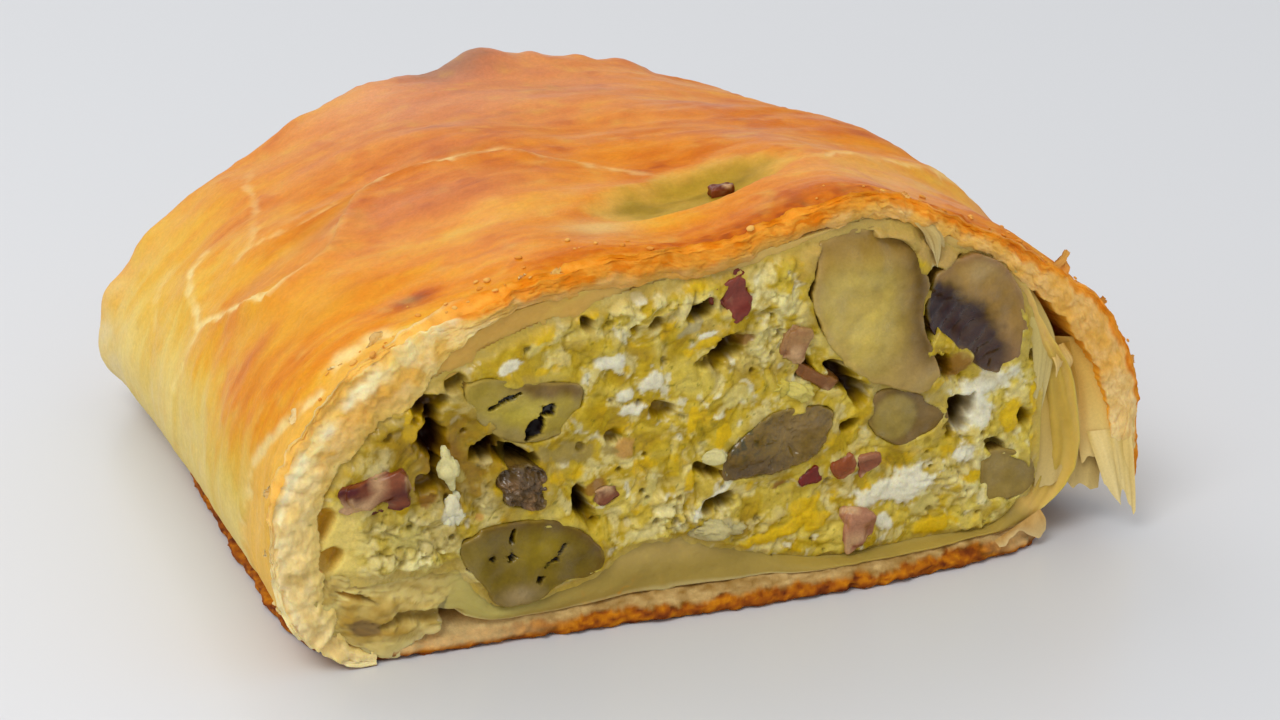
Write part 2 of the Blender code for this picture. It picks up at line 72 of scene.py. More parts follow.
# Camera, worked out from the photograph's straight edges.
CAMERA_PLACE = (-126.389, -271.280, 148.0)
CAMERA_DOWN, CAMERA_TURN = 21.4627, 22.7044
CAMERA_LENS, CAMERA_SENSOR = 78.69, 36.0

# Share of the studio's light that reaches the crust and the cut face, and the gloss that lies over all, bluer
# on what is wet.
ON_CRUST, ON_CUT = 1.08, 0.97
GLOSS = np.array([0.014, 0.014, 0.015])
WET_GLOSS = np.array([0.014, 0.019, 0.032])

# The roll, as in the CAD part.
LENGTH = 97.0
LEFT_EDGE, RIGHT_EDGE = -56.4, 54.9
CROWN_X, CROWN_Z = 4.0, 45.2
END_ROUNDING = 13.0
WALL_TOP, WALL_LEFT, CAVITY_RIGHT = 4.0, 5.0, 39.8
FLOOR_RIGHT, FLOOR_LEFT = 2.8, 4.3
FLOOR_STEP, FLOOR_STEP_X = 6.4, -32.5
FLOOR_SWELL, FLOOR_SWELL_X = 5.2, -9.5
SHELF_OUT, SHELF_X = 3.4, 16.0
# Points on an outline's stretches: floor, foot and shoulder on the left, then back down on the right.
STRETCHES = (60, 60, 200, 200, 60, 60)
# Points worked out on a quarter of an outline, and on each stretch of a smooth curve, before they are spaced.
QUARTER_STEPS, CURVE_STEPS = 300, 24

# Folds and cracks of the crust, as (distance along the surface from the crown line, depth behind the cut).
SIDE_FOLD = (
    (-57.5, 46), (-55, 40), (-52.5, 34), (-50.5, 29.5), (-47, 29), (-43, 30), (-38, 36.5), (-33, 43),
    (-29, 45), (-24, 44), (-19, 42.5), (-14, 41.5), (-8, 36), (-3, 27),
)
BACK_FOLD = ((-57.5, 46), (-55.5, 52), (-53, 57), (-50.5, 60.5), (-47, 63))
DOWN_FOLD = ((-57.5, 46), (-61, 47), (-65, 49), (-70, 52))
TOP_EDGE = ((-28.5, 45.6), (-26, 46.4), (-23, 46.6), (-20, 45.4), (-16.5, 44.2), (-12, 43.6))
RIGHT_FOLD = ((12, 17), (22, 20), (36, 24), (52, 21))
FAN_LOW = ((-46, 51), (-41, 47.5), (-36.5, 47), (-33, 48))
FAN_HIGH = ((-47, 51), (-43, 55), (-39.5, 64), (-36, 73), (-34, 80))
FAN_FAR = ((-60, 64), (-56, 68), (-51, 71))
# Folds with their width and height, and cracks with their width and how clearly each shows.
FOLDS = ((SIDE_FOLD, 2.6, 0.9), (RIGHT_FOLD, 2.6, 1.0), (BACK_FOLD, 2.0, 0.4), (DOWN_FOLD, 2.0, 0.3))
CRACKS = (
    (SIDE_FOLD, 0.8, 1.0), (BACK_FOLD, 1.0, 0.95), (DOWN_FOLD, 1.0, 0.7), (RIGHT_FOLD, 0.8, 0.6),
    (TOP_EDGE, 1.25, 0.95), (FAN_LOW, 0.6, 0.45), (FAN_HIGH, 0.7, 0.4), (FAN_FAR, 0.9, 0.4),
)
# Where the skin is torn off along the cut on the left: the depth it starts at, by distance from the crown.
TORN_OFF = (
    (-100, 15), (-84, 18), (-78, 17), (-72, 13.5), (-68, 11.5), (-65, 9), (-60, 4.2), (-56, 2.0), (-54, 3.2),
    (-52, 4.8), (-48, 4.4), (-45, 3.2), (-40, 0),
)
# The slash in the top: its middle, half length, half width, depth and turn.
SLASH_S, SLASH_Y, SLASH_LONG, SLASH_WIDE, SLASH_DEEP, SLASH_TURN = -2.0, 17.5, 13.5, 5.6, 2.4, 0.10
# Bumps and browned tips along the far edge: distance from the crown line, depth, height and reach.
BUMPS = (
    (11, 86, 0.7, 2.0), (18, 85, 0.5, 1.6), (-7, 86.5, 0.5, 2.0), (-24, 84, 0.7, 3.0), (-38, 82, 0.6, 3.0),
    (-50, 85, 0.8, 3.0), (-59, 86, 1.2, 3.2), (-68, 86, 1.8, 3.8), (-77, 85, 0.9, 3.2),
)
TIPS = ((3, 86, 2.8, 4.6), (25, 85, 1.0, 3.4), (-13, 86, 0.8, 4.0))


def rising(value, low, high):
    """0 below low, 1 above high, and a smooth rise between."""
    share = np.clip((value - low) / (high - low), 0, 1)
    return share * share * (3 - 2 * share)


def bell(offset, width):
    """1 at no offset, falling away smoothly over the width."""
    return np.exp(-((offset / width) ** 2))


def hashed(i, j, k, seed):
    """A fixed number from 0 to 1 for each whole-number place."""
    mask = np.uint64(0xFFFFFFFF)
    mixed = i.astype(np.int64) * 374761393 + j.astype(np.int64) * 668265263 + k * 1440662683 + seed * 974711
    mixed = mixed.astype(np.uint64) & mask
    mixed = ((mixed ^ (mixed >> np.uint64(13))) * np.uint64(1274126177)) & mask
    mixed = ((mixed ^ (mixed >> np.uint64(16))) * np.uint64(2246822519)) & mask
    return (mixed ^ (mixed >> np.uint64(15))).astype(float) / 4294967296.0


def noise(a, b, size, seed=0):
    """Smooth noise from -1 to 1 over a plane, with features about size across."""
    a, b = np.broadcast_arrays(np.asarray(a, float) / size, np.asarray(b, float) / size)
    a0, b0 = np.floor(a), np.floor(b)
    u, v = a - a0, b - b0
    u, v = u * u * (3 - 2 * u), v * v * (3 - 2 * v)
    total = 0.0
    for i, weight_a in ((0, 1 - u), (1, u)):
        for j, weight_b in ((0, 1 - v), (1, v)):
            total = total + weight_a * weight_b * hashed(a0 + i, b0 + j, 0, seed)
    return total * 2 - 1


def rough(a, b, size, seed=0, octaves=4, gain=0.5):
    """Noise with finer and finer detail, turned a little at each step."""
    total, strength, whole = 0.0, 1.0, 0.0
    for step in range(octaves):
        turn = 0.6 * step
        p = a * math.cos(turn) + b * math.sin(turn)
        q = b * math.cos(turn) - a * math.sin(turn)
        total = total + strength * noise(p, q, size * 0.5**step, seed + 31 * step)
        whole += strength
        strength *= gain
    return total / whole * 1.6


def cells(a, b, size, seed):
    """Distances to the nearest and the next seed point of a shaken grid, and the nearest one's own number."""
    column, row = np.floor(a / size), np.floor(b / size)
    nearest = np.full(a.shape, 1e9)
    following = np.full(a.shape, 1e9)
    name = np.zeros(a.shape)
    for i in (-1, 0, 1):
        for j in (-1, 0, 1):
            c, r = column + i, row + j
            seed_a = (c + 0.5 + 0.85 * (hashed(c, r, 1, seed) - 0.5)) * size
            seed_b = (r + 0.5 + 0.85 * (hashed(c, r, 2, seed) - 0.5)) * size
            away = np.hypot(a - seed_a, b - seed_b)
            closer = away < nearest
            following = np.where(closer, nearest, np.minimum(following, away))
            name = np.where(closer, hashed(c, r, 3, seed), name)
            nearest = np.minimum(nearest, away)
    return nearest, following, name


def colour(red, green, blue):
    """A colour as it looks, 0 to 255, made linear."""
    value = np.array([red, green, blue], float) / 255
    return np.where(value <= 0.04045, value / 12.92, ((value + 0.055) / 1.055) ** 2.4)


def paint(under, over, share):
    """Lays one colour over another where share is above 0."""
    share = np.clip(share, 0, 1)[..., None]
    return under * (1 - share) + over * share


def ramp(value, stops):
    """A colour for each value, from (value, colour as it looks) stops."""
    at, tones = zip(*stops)
    channels = np.array([colour(*tone) for tone in tones]).T
    return np.stack([np.interp(value, at, channel) for channel in channels], axis=-1)


def layers(tint, *coats):
    """Lays (colour as it looks, share) coats over a tint, one after the other."""
    for tone, share in coats:
        tint = paint(tint, colour(*tone), share)
    return tint


def plain(tone, like):
    """One colour for every point of an array."""
    return np.tile(colour(*tone), np.shape(like) + (1,))


def blend(first, second, share):
    """From one colour to another, point by point."""
    return paint(plain(first, share), colour(*second), share)


def mottled(tint, amount):
    """A tint made lighter, or darker where the amount is below 0."""
    return tint * (1 + amount)[..., None]


def read(table, at):
    """A value for each place, from (place, value) pairs."""
    return np.interp(at, *zip(*table))


def smoothed(values, reach, ends):
    """A running average over reach points each way; ends says how the values go on, as in np.pad."""
    kernel = np.hanning(2 * reach + 1)
    return np.convolve(np.pad(values, reach, mode=ends), kernel / kernel.sum(), mode="valid")


def distance_to_path(a, b, path):
    """Distance from each (a, b) to a path of straight runs, and how far along it the nearest point is."""
    nearest = np.full(np.shape(a), 1e9)
    along = np.zeros(np.shape(a))
    runs = len(path) - 1
    for i in range(runs):
        (a0, b0), (a1, b1) = path[i], path[i + 1]
        length_squared = (a1 - a0) ** 2 + (b1 - b0) ** 2
        t = np.clip(((a - a0) * (a1 - a0) + (b - b0) * (b1 - b0)) / length_squared, 0, 1)
        away = np.hypot(a - (a0 + t * (a1 - a0)), b - (b0 + t * (b1 - b0)))
        along = np.where(away < nearest, (i + t) / runs, along)
        nearest = np.minimum(nearest, away)
    return nearest, along


def between(behind, here, ahead, beyond, t):
    """The smooth curve from here to ahead, at t of the way."""
    b = (2 * behind - 5 * here + 4 * ahead - beyond) * t * t
    c = (3 * here - behind - 3 * ahead + beyond) * t**3
    return (2 * here + (ahead - behind) * t + b + c) / 2


def evenly(dense, count, closed):
    """A dense curve as count evenly spaced points."""
    run = np.concatenate([[0], np.cumsum(np.linalg.norm(np.diff(dense, axis=0), axis=1))])
    at = np.linspace(0, run[-1], count, endpoint=not closed)
    return np.stack([np.interp(at, run, column) for column in dense.T], axis=1)


def smooth_loop(points, count):
    """A smooth closed curve through a few points, evenly spaced."""
    points = np.asarray(points, float)
    behind, ahead, beyond = (np.roll(points, step, axis=0) for step in (1, -1, -2))
    steps = np.linspace(0, 1, CURVE_STEPS, endpoint=False)
    pieces = [between(behind, points, ahead, beyond, t) for t in steps]
    dense = np.stack(pieces, axis=1).reshape(-1, points.shape[1])
    return evenly(np.vstack([dense, dense[:1]]), count, True)


def smooth_line(points, count):
    """A smooth open curve through a few points, evenly spaced."""
    points = np.asarray(points, float)
    padded = np.vstack([2 * points[0] - points[1], points, 2 * points[-1] - points[-2]])
    t = np.linspace(0, 1, CURVE_STEPS, endpoint=False)[:, None]
    pieces = [between(*padded[i - 1 : i + 3], t) for i in range(1, len(padded) - 2)]
    return evenly(np.vstack(pieces + [points[-1:]]), count, False)


def signed_distance(x, z, loop):
    """Distance to a closed loop, below 0 inside it."""
    nearest = np.full(x.shape, 1e9)
    inside = np.zeros(x.shape, bool)
    for (x0, z0), (x1, z1) in zip(loop, np.roll(loop, -1, axis=0)):
        length_squared = (x1 - x0) ** 2 + (z1 - z0) ** 2 + 1e-12
        t = np.clip(((x - x0) * (x1 - x0) + (z - z0) * (z1 - z0)) / length_squared, 0, 1)
        nearest = np.minimum(nearest, np.hypot(x - x0 - t * (x1 - x0), z - z0 - t * (z1 - z0)))
        crosses = (z0 > z) != (z1 > z)
        if z1 != z0:
            inside ^= crosses & (x < x0 + (z - z0) / (z1 - z0) * (x1 - x0))
    return np.where(inside, -nearest, nearest)


# Meshes


def make_mesh(name, points, quads, tint, material, slot, dry=None, light=1.0):
    """An object from points in millimetres, four-cornered faces and a colour for each point.

    light is the share of the studio's light that reaches the piece: its colours are given as they look, and
    the paint is made that much stronger, with the gloss that lies over everything taken off."""
    mesh = bpy.data.meshes.new(name)
    places = ((points + SHIFT) * MM).astype(np.float32)
    mesh.vertices.add(len(places))
    mesh.vertices.foreach_set("co", places.ravel())
    mesh.loops.add(quads.size)
    mesh.loops.foreach_set("vertex_index", quads.astype(np.int32).ravel())
    mesh.polygons.add(len(quads))
    mesh.polygons.foreach_set("loop_start", np.arange(0, quads.size, 4, dtype=np.int32))
    mesh.update(calc_edges=True)
    mesh.validate()
    painted = mesh.attributes.new("tint", "FLOAT_COLOR", "POINT")
    gloss = WET_GLOSS if slot in ("egg", "mushroom") else GLOSS
    paint_needed = np.clip((tint - gloss) / light, 0.003, 0.92)
    full = np.concatenate([paint_needed, np.ones((len(tint), 1))], axis=1)
    painted.data.foreach_set("color", full.astype(np.float32).ravel())
    finish = mesh.attributes.new("dry", "FLOAT", "POINT")
    dryness = np.full(len(points), 0.5) if dry is None else dry
    finish.data.foreach_set("value", np.clip(dryness, 0, 1).astype(np.float32).ravel())
    mesh.shade_smooth()
    made = bpy.data.objects.new(name, mesh)
    bpy.context.scene.collection.objects.link(made)
    mesh.materials.append(material)
    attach(made, "root")
    return made


def grid_quads(rows, columns, round_columns=False):
    """Faces of a sheet of points, joined round if asked."""
    row = np.arange(rows - 1)[:, None] * columns
    last = columns if round_columns else columns - 1
    column = np.arange(last)[None, :]
    across = (column + 1) % columns
    corners = [row + column, row + across, row + columns + across, row + columns + column]
    return np.stack(corners, axis=-1).reshape(-1, 4)


def grid_normals(points, outward):
    """Unit normals of a sheet of points, turned to the side where outward, a point's rough way out, is."""
    down = np.gradient(points, axis=0)
    across = np.gradient(points, axis=1)
    normals = np.cross(down, across)
    normals /= np.linalg.norm(normals, axis=-1, keepdims=True) + 1e-12
    wrong = np.sum(normals * outward, axis=-1, keepdims=True) < 0
    return np.where(wrong, -normals, normals)


def join_parts(parts):
    """Joins (points, quads, tint, dry) parts into one."""
    start, points, quads, tints, drys = 0, [], [], [], []
    for part_points, part_quads, part_tint, part_dry in parts:
        points.append(part_points)
        quads.append(part_quads + start)
        tints.append(part_tint)
        drys.append(np.broadcast_to(part_dry, len(part_points)))
        start += len(part_points)
    return np.vstack(points), np.vstack(quads), np.vstack(tints), np.concatenate(drys)


class Sheet:
    """Rows of points with their colours and dryness, made into one mesh at the end."""

    def __init__(self):
        self.rows, self.tints, self.drys = [], [], []

    def add(self, x, y, z, tint, dry):
        x, y, z, dry = np.broadcast_arrays(x, y, z, dry)
        self.rows.append(np.stack([x, y, z], axis=1))
        self.tints.append(tint)
        self.drys.append(dry)

    def last_depths(self):
        return self.rows[-1][:, 1]

    def make(self, name, material, slot="pastry", round_columns=True):
        rows = np.array(self.rows)
        quads = grid_quads(len(rows), rows.shape[1], round_columns)
        tint, dry = np.array(self.tints).reshape(-1, 3), np.array(self.drys).ravel()
        return make_mesh(name, rows.reshape(-1, 3), quads, tint, material, slot, dry, ON_CUT)


def leaned(x, z, u, w, lean):
    """Places that are u and w away from (x, z), turned round it by lean degrees."""
    turn = math.radians(lean)
    return x + u * math.cos(turn) - w * math.sin(turn), z + u * math.sin(turn) + w * math.cos(turn)


def ball_angles(rows, columns):
    """The angles up and around of a ball's points."""
    up = np.linspace(-math.pi / 2, math.pi / 2, rows)[:, None]
    return up, np.linspace(0, 2 * math.pi, columns, endpoint=False)


# Materials


def food_material(name, finish, grain, coat, flesh):
    """A food surface: the points' tint with fine mottling, roughness from wet to dry, and a fine grain."""
    material = bpy.data.materials.new(name)
    material.use_nodes = True
    nodes, links = material.node_tree.nodes, material.node_tree.links
    size, strength, mottling = grain

    def settle(node, values):
        for socket, value in values.items():
            node.inputs[socket].default_value = value
        return node

    surface = settle(nodes["Principled BSDF"], {
        "Specular IOR Level": finish[2], "Coat Roughness": coat[1], "Subsurface Weight": flesh[0],
        "Subsurface Radius": flesh[1], "Subsurface Scale": flesh[2] * MM,
    })
    place = nodes.new("ShaderNodeTexCoord")
    tint = nodes.new("ShaderNodeAttribute")
    tint.attribute_name = "tint"
    dryness = nodes.new("ShaderNodeAttribute")
    dryness.attribute_name = "dry"
    fine = settle(nodes.new("ShaderNodeTexNoise"), {"Scale": 1 / (size * MM), "Detail": 4, "Roughness": 0.65})
    links.new(place.outputs["Object"], fine.inputs["Vector"])
    shade = settle(nodes.new("ShaderNodeMapRange"), {
        "From Min": 0.3, "From Max": 0.7, "To Min": 1 - mottling, "To Max": 1 + mottling,
    })
    links.new(fine.outputs["Fac"], shade.inputs["Value"])
    mottle = nodes.new("ShaderNodeVectorMath")
    mottle.operation = "SCALE"
    links.new(tint.outputs["Color"], mottle.inputs[0])
    links.new(shade.outputs["Result"], mottle.inputs["Scale"])
    links.new(mottle.outputs["Vector"], surface.inputs["Base Color"])
    sheen = settle(nodes.new("ShaderNodeMapRange"), {"To Min": finish[0], "To Max": finish[1]})
    links.new(dryness.outputs["Fac"], sheen.inputs["Value"])
    links.new(sheen.outputs["Result"], surface.inputs["Roughness"])
    wet = settle(nodes.new("ShaderNodeMapRange"), {"From Max": 0.6, "To Min": coat[0], "To Max": 0})
    links.new(dryness.outputs["Fac"], wet.inputs["Value"])
    links.new(wet.outputs["Result"], surface.inputs["Coat Weight"])
    bump = settle(nodes.new("ShaderNodeBump"), {"Strength": strength, "Distance": size * 0.5 * MM})
    links.new(fine.outputs["Fac"], bump.inputs["Height"])
    links.new(bump.outputs["Normal"], surface.inputs["Normal"])
    return material


# Each material's name; roughness when wet, when dry, gloss level; grain size in mm, bump strength, mottling;
# weight of the coat where wettest, its roughness; share of the light that goes through, how far each colour
# goes and that distance in mm.
FOODS = {
    "skin": ("baked_skin", (0.32, 0.65, 0.06), (0.55, 0.34, 0.08), (0.2, 0.22), (0.12, (1, 0.45, 0.12), 0.8)),
    "crumb": ("flaky_crumb", (0.55, 0.9, 0.1), (0.3, 0.45, 0.06), (0, 0.3), (0.35, (1, 0.6, 0.22), 0.9)),
    "dough": (
        "inner_dough", (0.32, 0.65, 0.18), (0.45, 0.16, 0.04), (0.05, 0.25), (0.5, (1, 0.75, 0.28), 1.6),
    ),
    "base": ("crisp_base", (0.5, 0.85, 0.12), (0.35, 0.55, 0.1), (0, 0.3), (0.1, (1, 0.5, 0.2), 0.6)),
    "thin": ("thin_flakes", (0.4, 0.8, 0.14), (0.3, 0.3, 0.06), (0.05, 0.25), (0.08, (1, 0.8, 0.5), 0.5)),
    "egg": ("scrambled_egg", (0.28, 0.65, 0.2), (0.28, 0.45, 0.1), (0.35, 0.16), (0.35, (1, 0.7, 0.22), 1.0)),
    "mushroom": (
        "mushroom_flesh", (0.25, 0.6, 0.22), (0.34, 0.45, 0.08), (0.8, 0.12), (0.35, (1, 0.75, 0.4), 1.2),
    ),
    "bacon": ("bacon_meat", (0.2, 0.55, 0.25), (0.35, 0.3, 0.16), (0.5, 0.14), (0.12, (1, 0.45, 0.3), 0.7)),
}


def make_materials():
    return {food: food_material(*form) for food, form in FOODS.items()}


# The roll's form, the same as in the CAD part


def running(x, z):
    """Distance along a line from its start."""
    return np.concatenate([[0], np.cumsum(np.hypot(np.diff(x), np.diff(z)))])


def quarter(centre, reach, power, count):
    """Evenly spaced points of a superellipse quarter, from its side to its top."""
    angle = np.linspace(0, math.pi / 2, QUARTER_STEPS)
    x = centre[0] + reach[0] * np.cos(angle) ** (2 / power)
    z = centre[1] + reach[1] * np.sin(angle) ** (2 / power)
    run = running(x, z)
    at = np.linspace(0, run[-1], count + 1)
    return np.interp(at, run, x), np.interp(at, run, z)


def outline(sides, middle, heights, powers, feet, floor):
    """A closed D-shaped outline from the middle of its floor round the left, over the top and back."""
    (left, right), (middle_x, top), (low_left, low_right) = sides, middle, heights
    left_in, right_in = left + feet[0], right - feet[1]
    left_floor = np.linspace(middle_x, left_in, STRETCHES[0] + 1)
    left_foot = quarter((left_in, low_left), (-feet[0], floor(left_in) - low_left), 2.3, STRETCHES[1])
    left_arch = quarter((middle_x, low_left), (left - middle_x, top - low_left), powers[0], STRETCHES[2])
    right_arch = quarter((middle_x, low_right), (right - middle_x, top - low_right), powers[1], STRETCHES[3])
    right_foot = quarter((right_in, low_right), (feet[1], floor(right_in) - low_right), 2.6, STRETCHES[4])
    right_floor = np.linspace(right_in, middle_x, STRETCHES[5] + 1)
    stretches = (
        (left_floor, floor(left_floor)), np.flip(left_foot, 1), left_arch,
        np.flip(right_arch, 1), right_foot, (right_floor, floor(right_floor)),
    )
    return np.concatenate([np.stack(stretch)[:, :-1] for stretch in stretches], axis=1)


def swells(x, y, z):
    """The crown's two swellings: one at the cut, one along the right shoulder."""
    at_cut = 4.0 * bell(x - 16.5, 10) * bell(y, 30)
    on_right = 3.8 * bell(x - 33, 14) * bell(y - 37, 22)
    return (z > 20) * (at_cut + on_right)


def run_from_crown(x, z):
    """Distance along an outline from the crown, below 0 to the left."""
    run = running(x, z)
    return run - run[sum(STRETCHES[:3])]


def crust_outline(y):
    """The crust's outline at depth y, and the distance along it from the crown."""
    back = rising(y, 0, LENGTH)
    sides = (LEFT_EDGE + 0.8 * math.sin(math.pi * y / LENGTH), RIGHT_EDGE - 6 * back)
    crown = (CROWN_X - 9 * back, CROWN_Z + 0.6 * bell(y - 45, 26) - 1.6 * back)
    powers = (2.65 - 1.02 * back, 2.05 + 0.16 * bell(y, 20) + 0.50 * bell(y - 68, 36))
    x, z = outline(sides, crown, (15 - 3 * back, 11.5), powers, (12.5, 13.5), lambda at: 0.0 * at)
    z = z + swells(x, y, z)
    past = min(max(0.0, (y - (LENGTH - END_ROUNDING)) / END_ROUNDING), 1.0)
    x = 2 + (x - 2) * max((1 - past**3.0) ** 0.25, 0.06)
    z = z * max((1 - past**2.2) ** 0.385, 0.12)
    return x, z, run_from_crown(x, z)


def cavity_floor(x, y):
    """Height of the dough under the filling."""
    floor = FLOOR_LEFT + (FLOOR_RIGHT - FLOOR_LEFT) * rising(x, 0, 14)
    floor = floor + FLOOR_STEP * (1 - rising(x, FLOOR_STEP_X - 2, FLOOR_STEP_X + 2))
    floor = floor + FLOOR_SWELL * bell(x - FLOOR_SWELL_X, 9)
    return floor + (5.5 - floor) * rising(y, 12, 60)


def cavity_outline(y, shrink=0.0):
    """The edge of the filling at depth y, and the distance along it from the crown."""
    back = rising(y, 0, LENGTH)
    sides = (LEFT_EDGE + WALL_LEFT + shrink, CAVITY_RIGHT - 6 * back - shrink)
    crown = (CROWN_X - 9 * back, CROWN_Z - WALL_TOP - 2.4 * back - shrink)
    powers = (1.95 - 0.25 * back, 3.4 - 1.2 * back)
    x, z = outline(sides, crown, (16.5, 14.5), powers, (6, 8), lambda at: cavity_floor(at, y) + shrink)
    z = z + 0.8 * swells(x, y, z)
    return x, z, run_from_crown(x, z)


def slash_share(s, y):
    """1 in the middle of the slash, 0 at its lip."""
    ds, dy = s - SLASH_S, y - SLASH_Y
    long = (ds * math.cos(SLASH_TURN) + dy * math.sin(SLASH_TURN)) / SLASH_LONG
    wide = (dy * math.cos(SLASH_TURN) - ds * math.sin(SLASH_TURN)) / SLASH_WIDE
    return np.clip(1.25 - (np.abs(long) ** 1.6 + np.abs(wide) ** 2.2), 0, 1)


def shelf(x, z):
    """How far the base stands out in front of the cut."""
    return SHELF_OUT * bell(x - SHELF_X, 20) * (1 - rising(z, 1.2, 5.0))


def torn_edge(s):
    """How far the crust's broken edge lies behind the cut plane, round the ring."""
    left = rising(-s, 36, 46)
    torn = 0.5 * np.sin(s * 0.47) + 0.4 * np.sin(s * 0.29 + 2.0)
    fine = (0.50 + 0.7 * left) * rough(s, 0 * s, 2.6, 5, 3)
    fine = fine + (0.18 + 0.2 * left) * rough(s, 0 * s, 0.7, 6)
    return np.maximum(1.2 + 3.0 * bell(s + 38, 6) - 0.4 * left + torn * (1 - 0.4 * left) + fine, 0.15)


# The crust's skin


def past_tear(s, y):
    """How far behind the line where the outermost skin is torn off a place lies."""
    return y - read(TORN_OFF, s) + 0.8 * rough(s, y, 3, 15, 3)


def crack_field(s, y):
    """How near the crust's cracks are: 1 on one, 0 away from all, with ragged sides."""
    wander_s, wander_y = 0.8 * rough(s, y, 3, 11), 0.8 * rough(s, y, 3, 12)
    ragged = 0.30 * rough(s, y, 1.1, 13, 3)
    found = np.zeros(s.shape)
    for path, width, strength in CRACKS:
        away, along = distance_to_path(s + wander_s, y + wander_y, path)
        ends = np.clip((1 - along) * 6, 0, 1)
        if path is SIDE_FOLD:
            healed = 0.75 * rising(along, 0.32, 0.40) * (1 - rising(along, 0.52, 0.60))
            ends = 1 - healed - 0.6 * rising(along, 0.78, 0.9)
        if path is RIGHT_FOLD:
            ends = np.clip(np.minimum(along, 1 - along) * 8, 0, 1)
        patchy = np.clip(0.80 + 0.7 * rough(along * 60, 0 * along, 5, 14, 3), 0.35, 1)
        inside = 1 - rising(away + ragged, width * 0.2, width * 1.4)
        found = np.maximum(found, strength * ends * patchy * inside)
    torn = bell(past_tear(s, y), 0.9) * rising(-s, 42, 47) * (1 - rising(-s, 78, 86))
    return np.maximum(found, torn * np.clip(0.6 + 1.2 * rough(s, y, 2.6, 16, 3), 0, 1))


def torn_off(s, y):
    """1 where the outermost skin is gone and the golden layer under it shows."""
    return (1 - rising(past_tear(s, y), -0.8, 0.4)) * rising(-s, 40, 46)


def crust_relief(s, y):
    """How far the crust stands out of its plain form."""
    height = 0.7 * bell(s, 75) * np.sin(s * 0.21 + y * 0.095) * np.sin(y * 0.13 + 0.6)
    for path, width, lift in FOLDS:
        away, along = distance_to_path(s, y, path)
        height = height + lift * bell(away, width) * np.sin(math.pi * np.clip(along * 0.9 + 0.05, 0, 1))
    from_fold = y - read(SIDE_FOLD, s)
    lap = (1 - rising(from_fold, -0.7, 0.9)) * bell(np.minimum(from_fold, 0), 11)
    height = height + 0.9 * lap * rising(s, -60, -50) * (1 - rising(s, -14, -4))
    height = height - 0.35 * torn_off(s, y) - 0.75 * SLASH_DEEP * slash_share(s, y)
    for tip_s, tip_y, tip_high, tip_reach in TIPS:
        height = height + tip_high * bell(np.hypot(s - tip_s, y - tip_y), tip_reach)
    height = height * np.clip((y - 0.5) / 4, 0.25, 1)
    height = height + 0.30 * rough(s, y, 12, 21, 3)
    height = height + 0.13 * rough(s / 5, y + 0.15 * s, 1.6, 22, 4)
    for bump_s, bump_y, bump_high, bump_reach in BUMPS:
        height = height + bump_high * bell(np.hypot(s - bump_s, y - bump_y), bump_reach)
    height = height + 0.05 * rough(s, y, 1.4, 23, 3)
    height = height + 0.14 * rising(rough(s / 1.6, y, 2.6, 48, 3), 0.45, 1.0)
    height = height + (0.28 * rough(s, y, 1.8, 24, 4) + 0.10) * bell(y - 1, 2.4)
    return height - 0.22 * crack_field(s, y)


# How far the crust is baked in places: distance from the crown line, depth, reach along each, and how much.
BAKED = (
    (-84, 50, 15, 60, -0.34), (-67, 66, 14, 24, -0.28), (-56, 78, 16, 14, -0.22), (-78, 20, 9, 14, -0.1),
    (-60, 20, 12, 10, 0.06), (-41, 9.5, 2.8, 2.2, 0.4), (-30, 13, 8, 4, 0.06), (-18, 9, 9, 4, 0.1),
    (-40, 42, 14, 6, 0.14), (-24, 33, 14, 5, 0.1), (-14, 55, 16, 8, 0.12), (0, 66, 20, 9, 0.1),
    (10, 40, 16, 8, 0.1), (30, 38, 10, 12, 0.12), (0, 86, 6, 5, 0.5), (-6, 84, 5, 6, 0.16),
    (14, 78, 12, 6, 0.08), (-44, 3, 14, 2.5, -0.16), (-26, 22, 10, 3, -0.16), (26, 15, 9, 5, -0.16),
    (38, 20, 6, 8, -0.12), (-8, 13, 8, 3, -0.12), (10, 4, 14, 3, 0.14), (-44, 66, 10, 6, 0.1),
    (52, 10, 9, 8, 0.06), (66, 8, 9, 8, -0.12), (72, 50, 12, 40, -0.22), (-20, 26, 9, 2.5, -0.12),
    (-52, 40, 9, 6, 0.08), (-50, 58, 7, 5, -0.1), (-34, 62, 6, 5, -0.08), (-16, 20, 7, 2.5, -0.1),
    (-34, 4, 12, 3, 0.08), (-18, 3, 12, 2.5, 0.14), (-48, 10, 8, 5, -0.06),
)
# The crust's colour by how far it is baked, and the colours in its cracks and of the filling in the slash.
BAKE_STOPS = (
    (0.0, (243, 216, 132)), (0.2, (238, 204, 104)), (0.38, (237, 184, 70)), (0.52, (235, 162, 50)),
    (0.66, (228, 140, 44)), (0.8, (212, 116, 36)), (0.94, (188, 92, 34)), (1.12, (130, 72, 48)),
    (1.3, (92, 54, 46)),
)
CREAM, VENT = (250, 226, 156), (176, 142, 50)


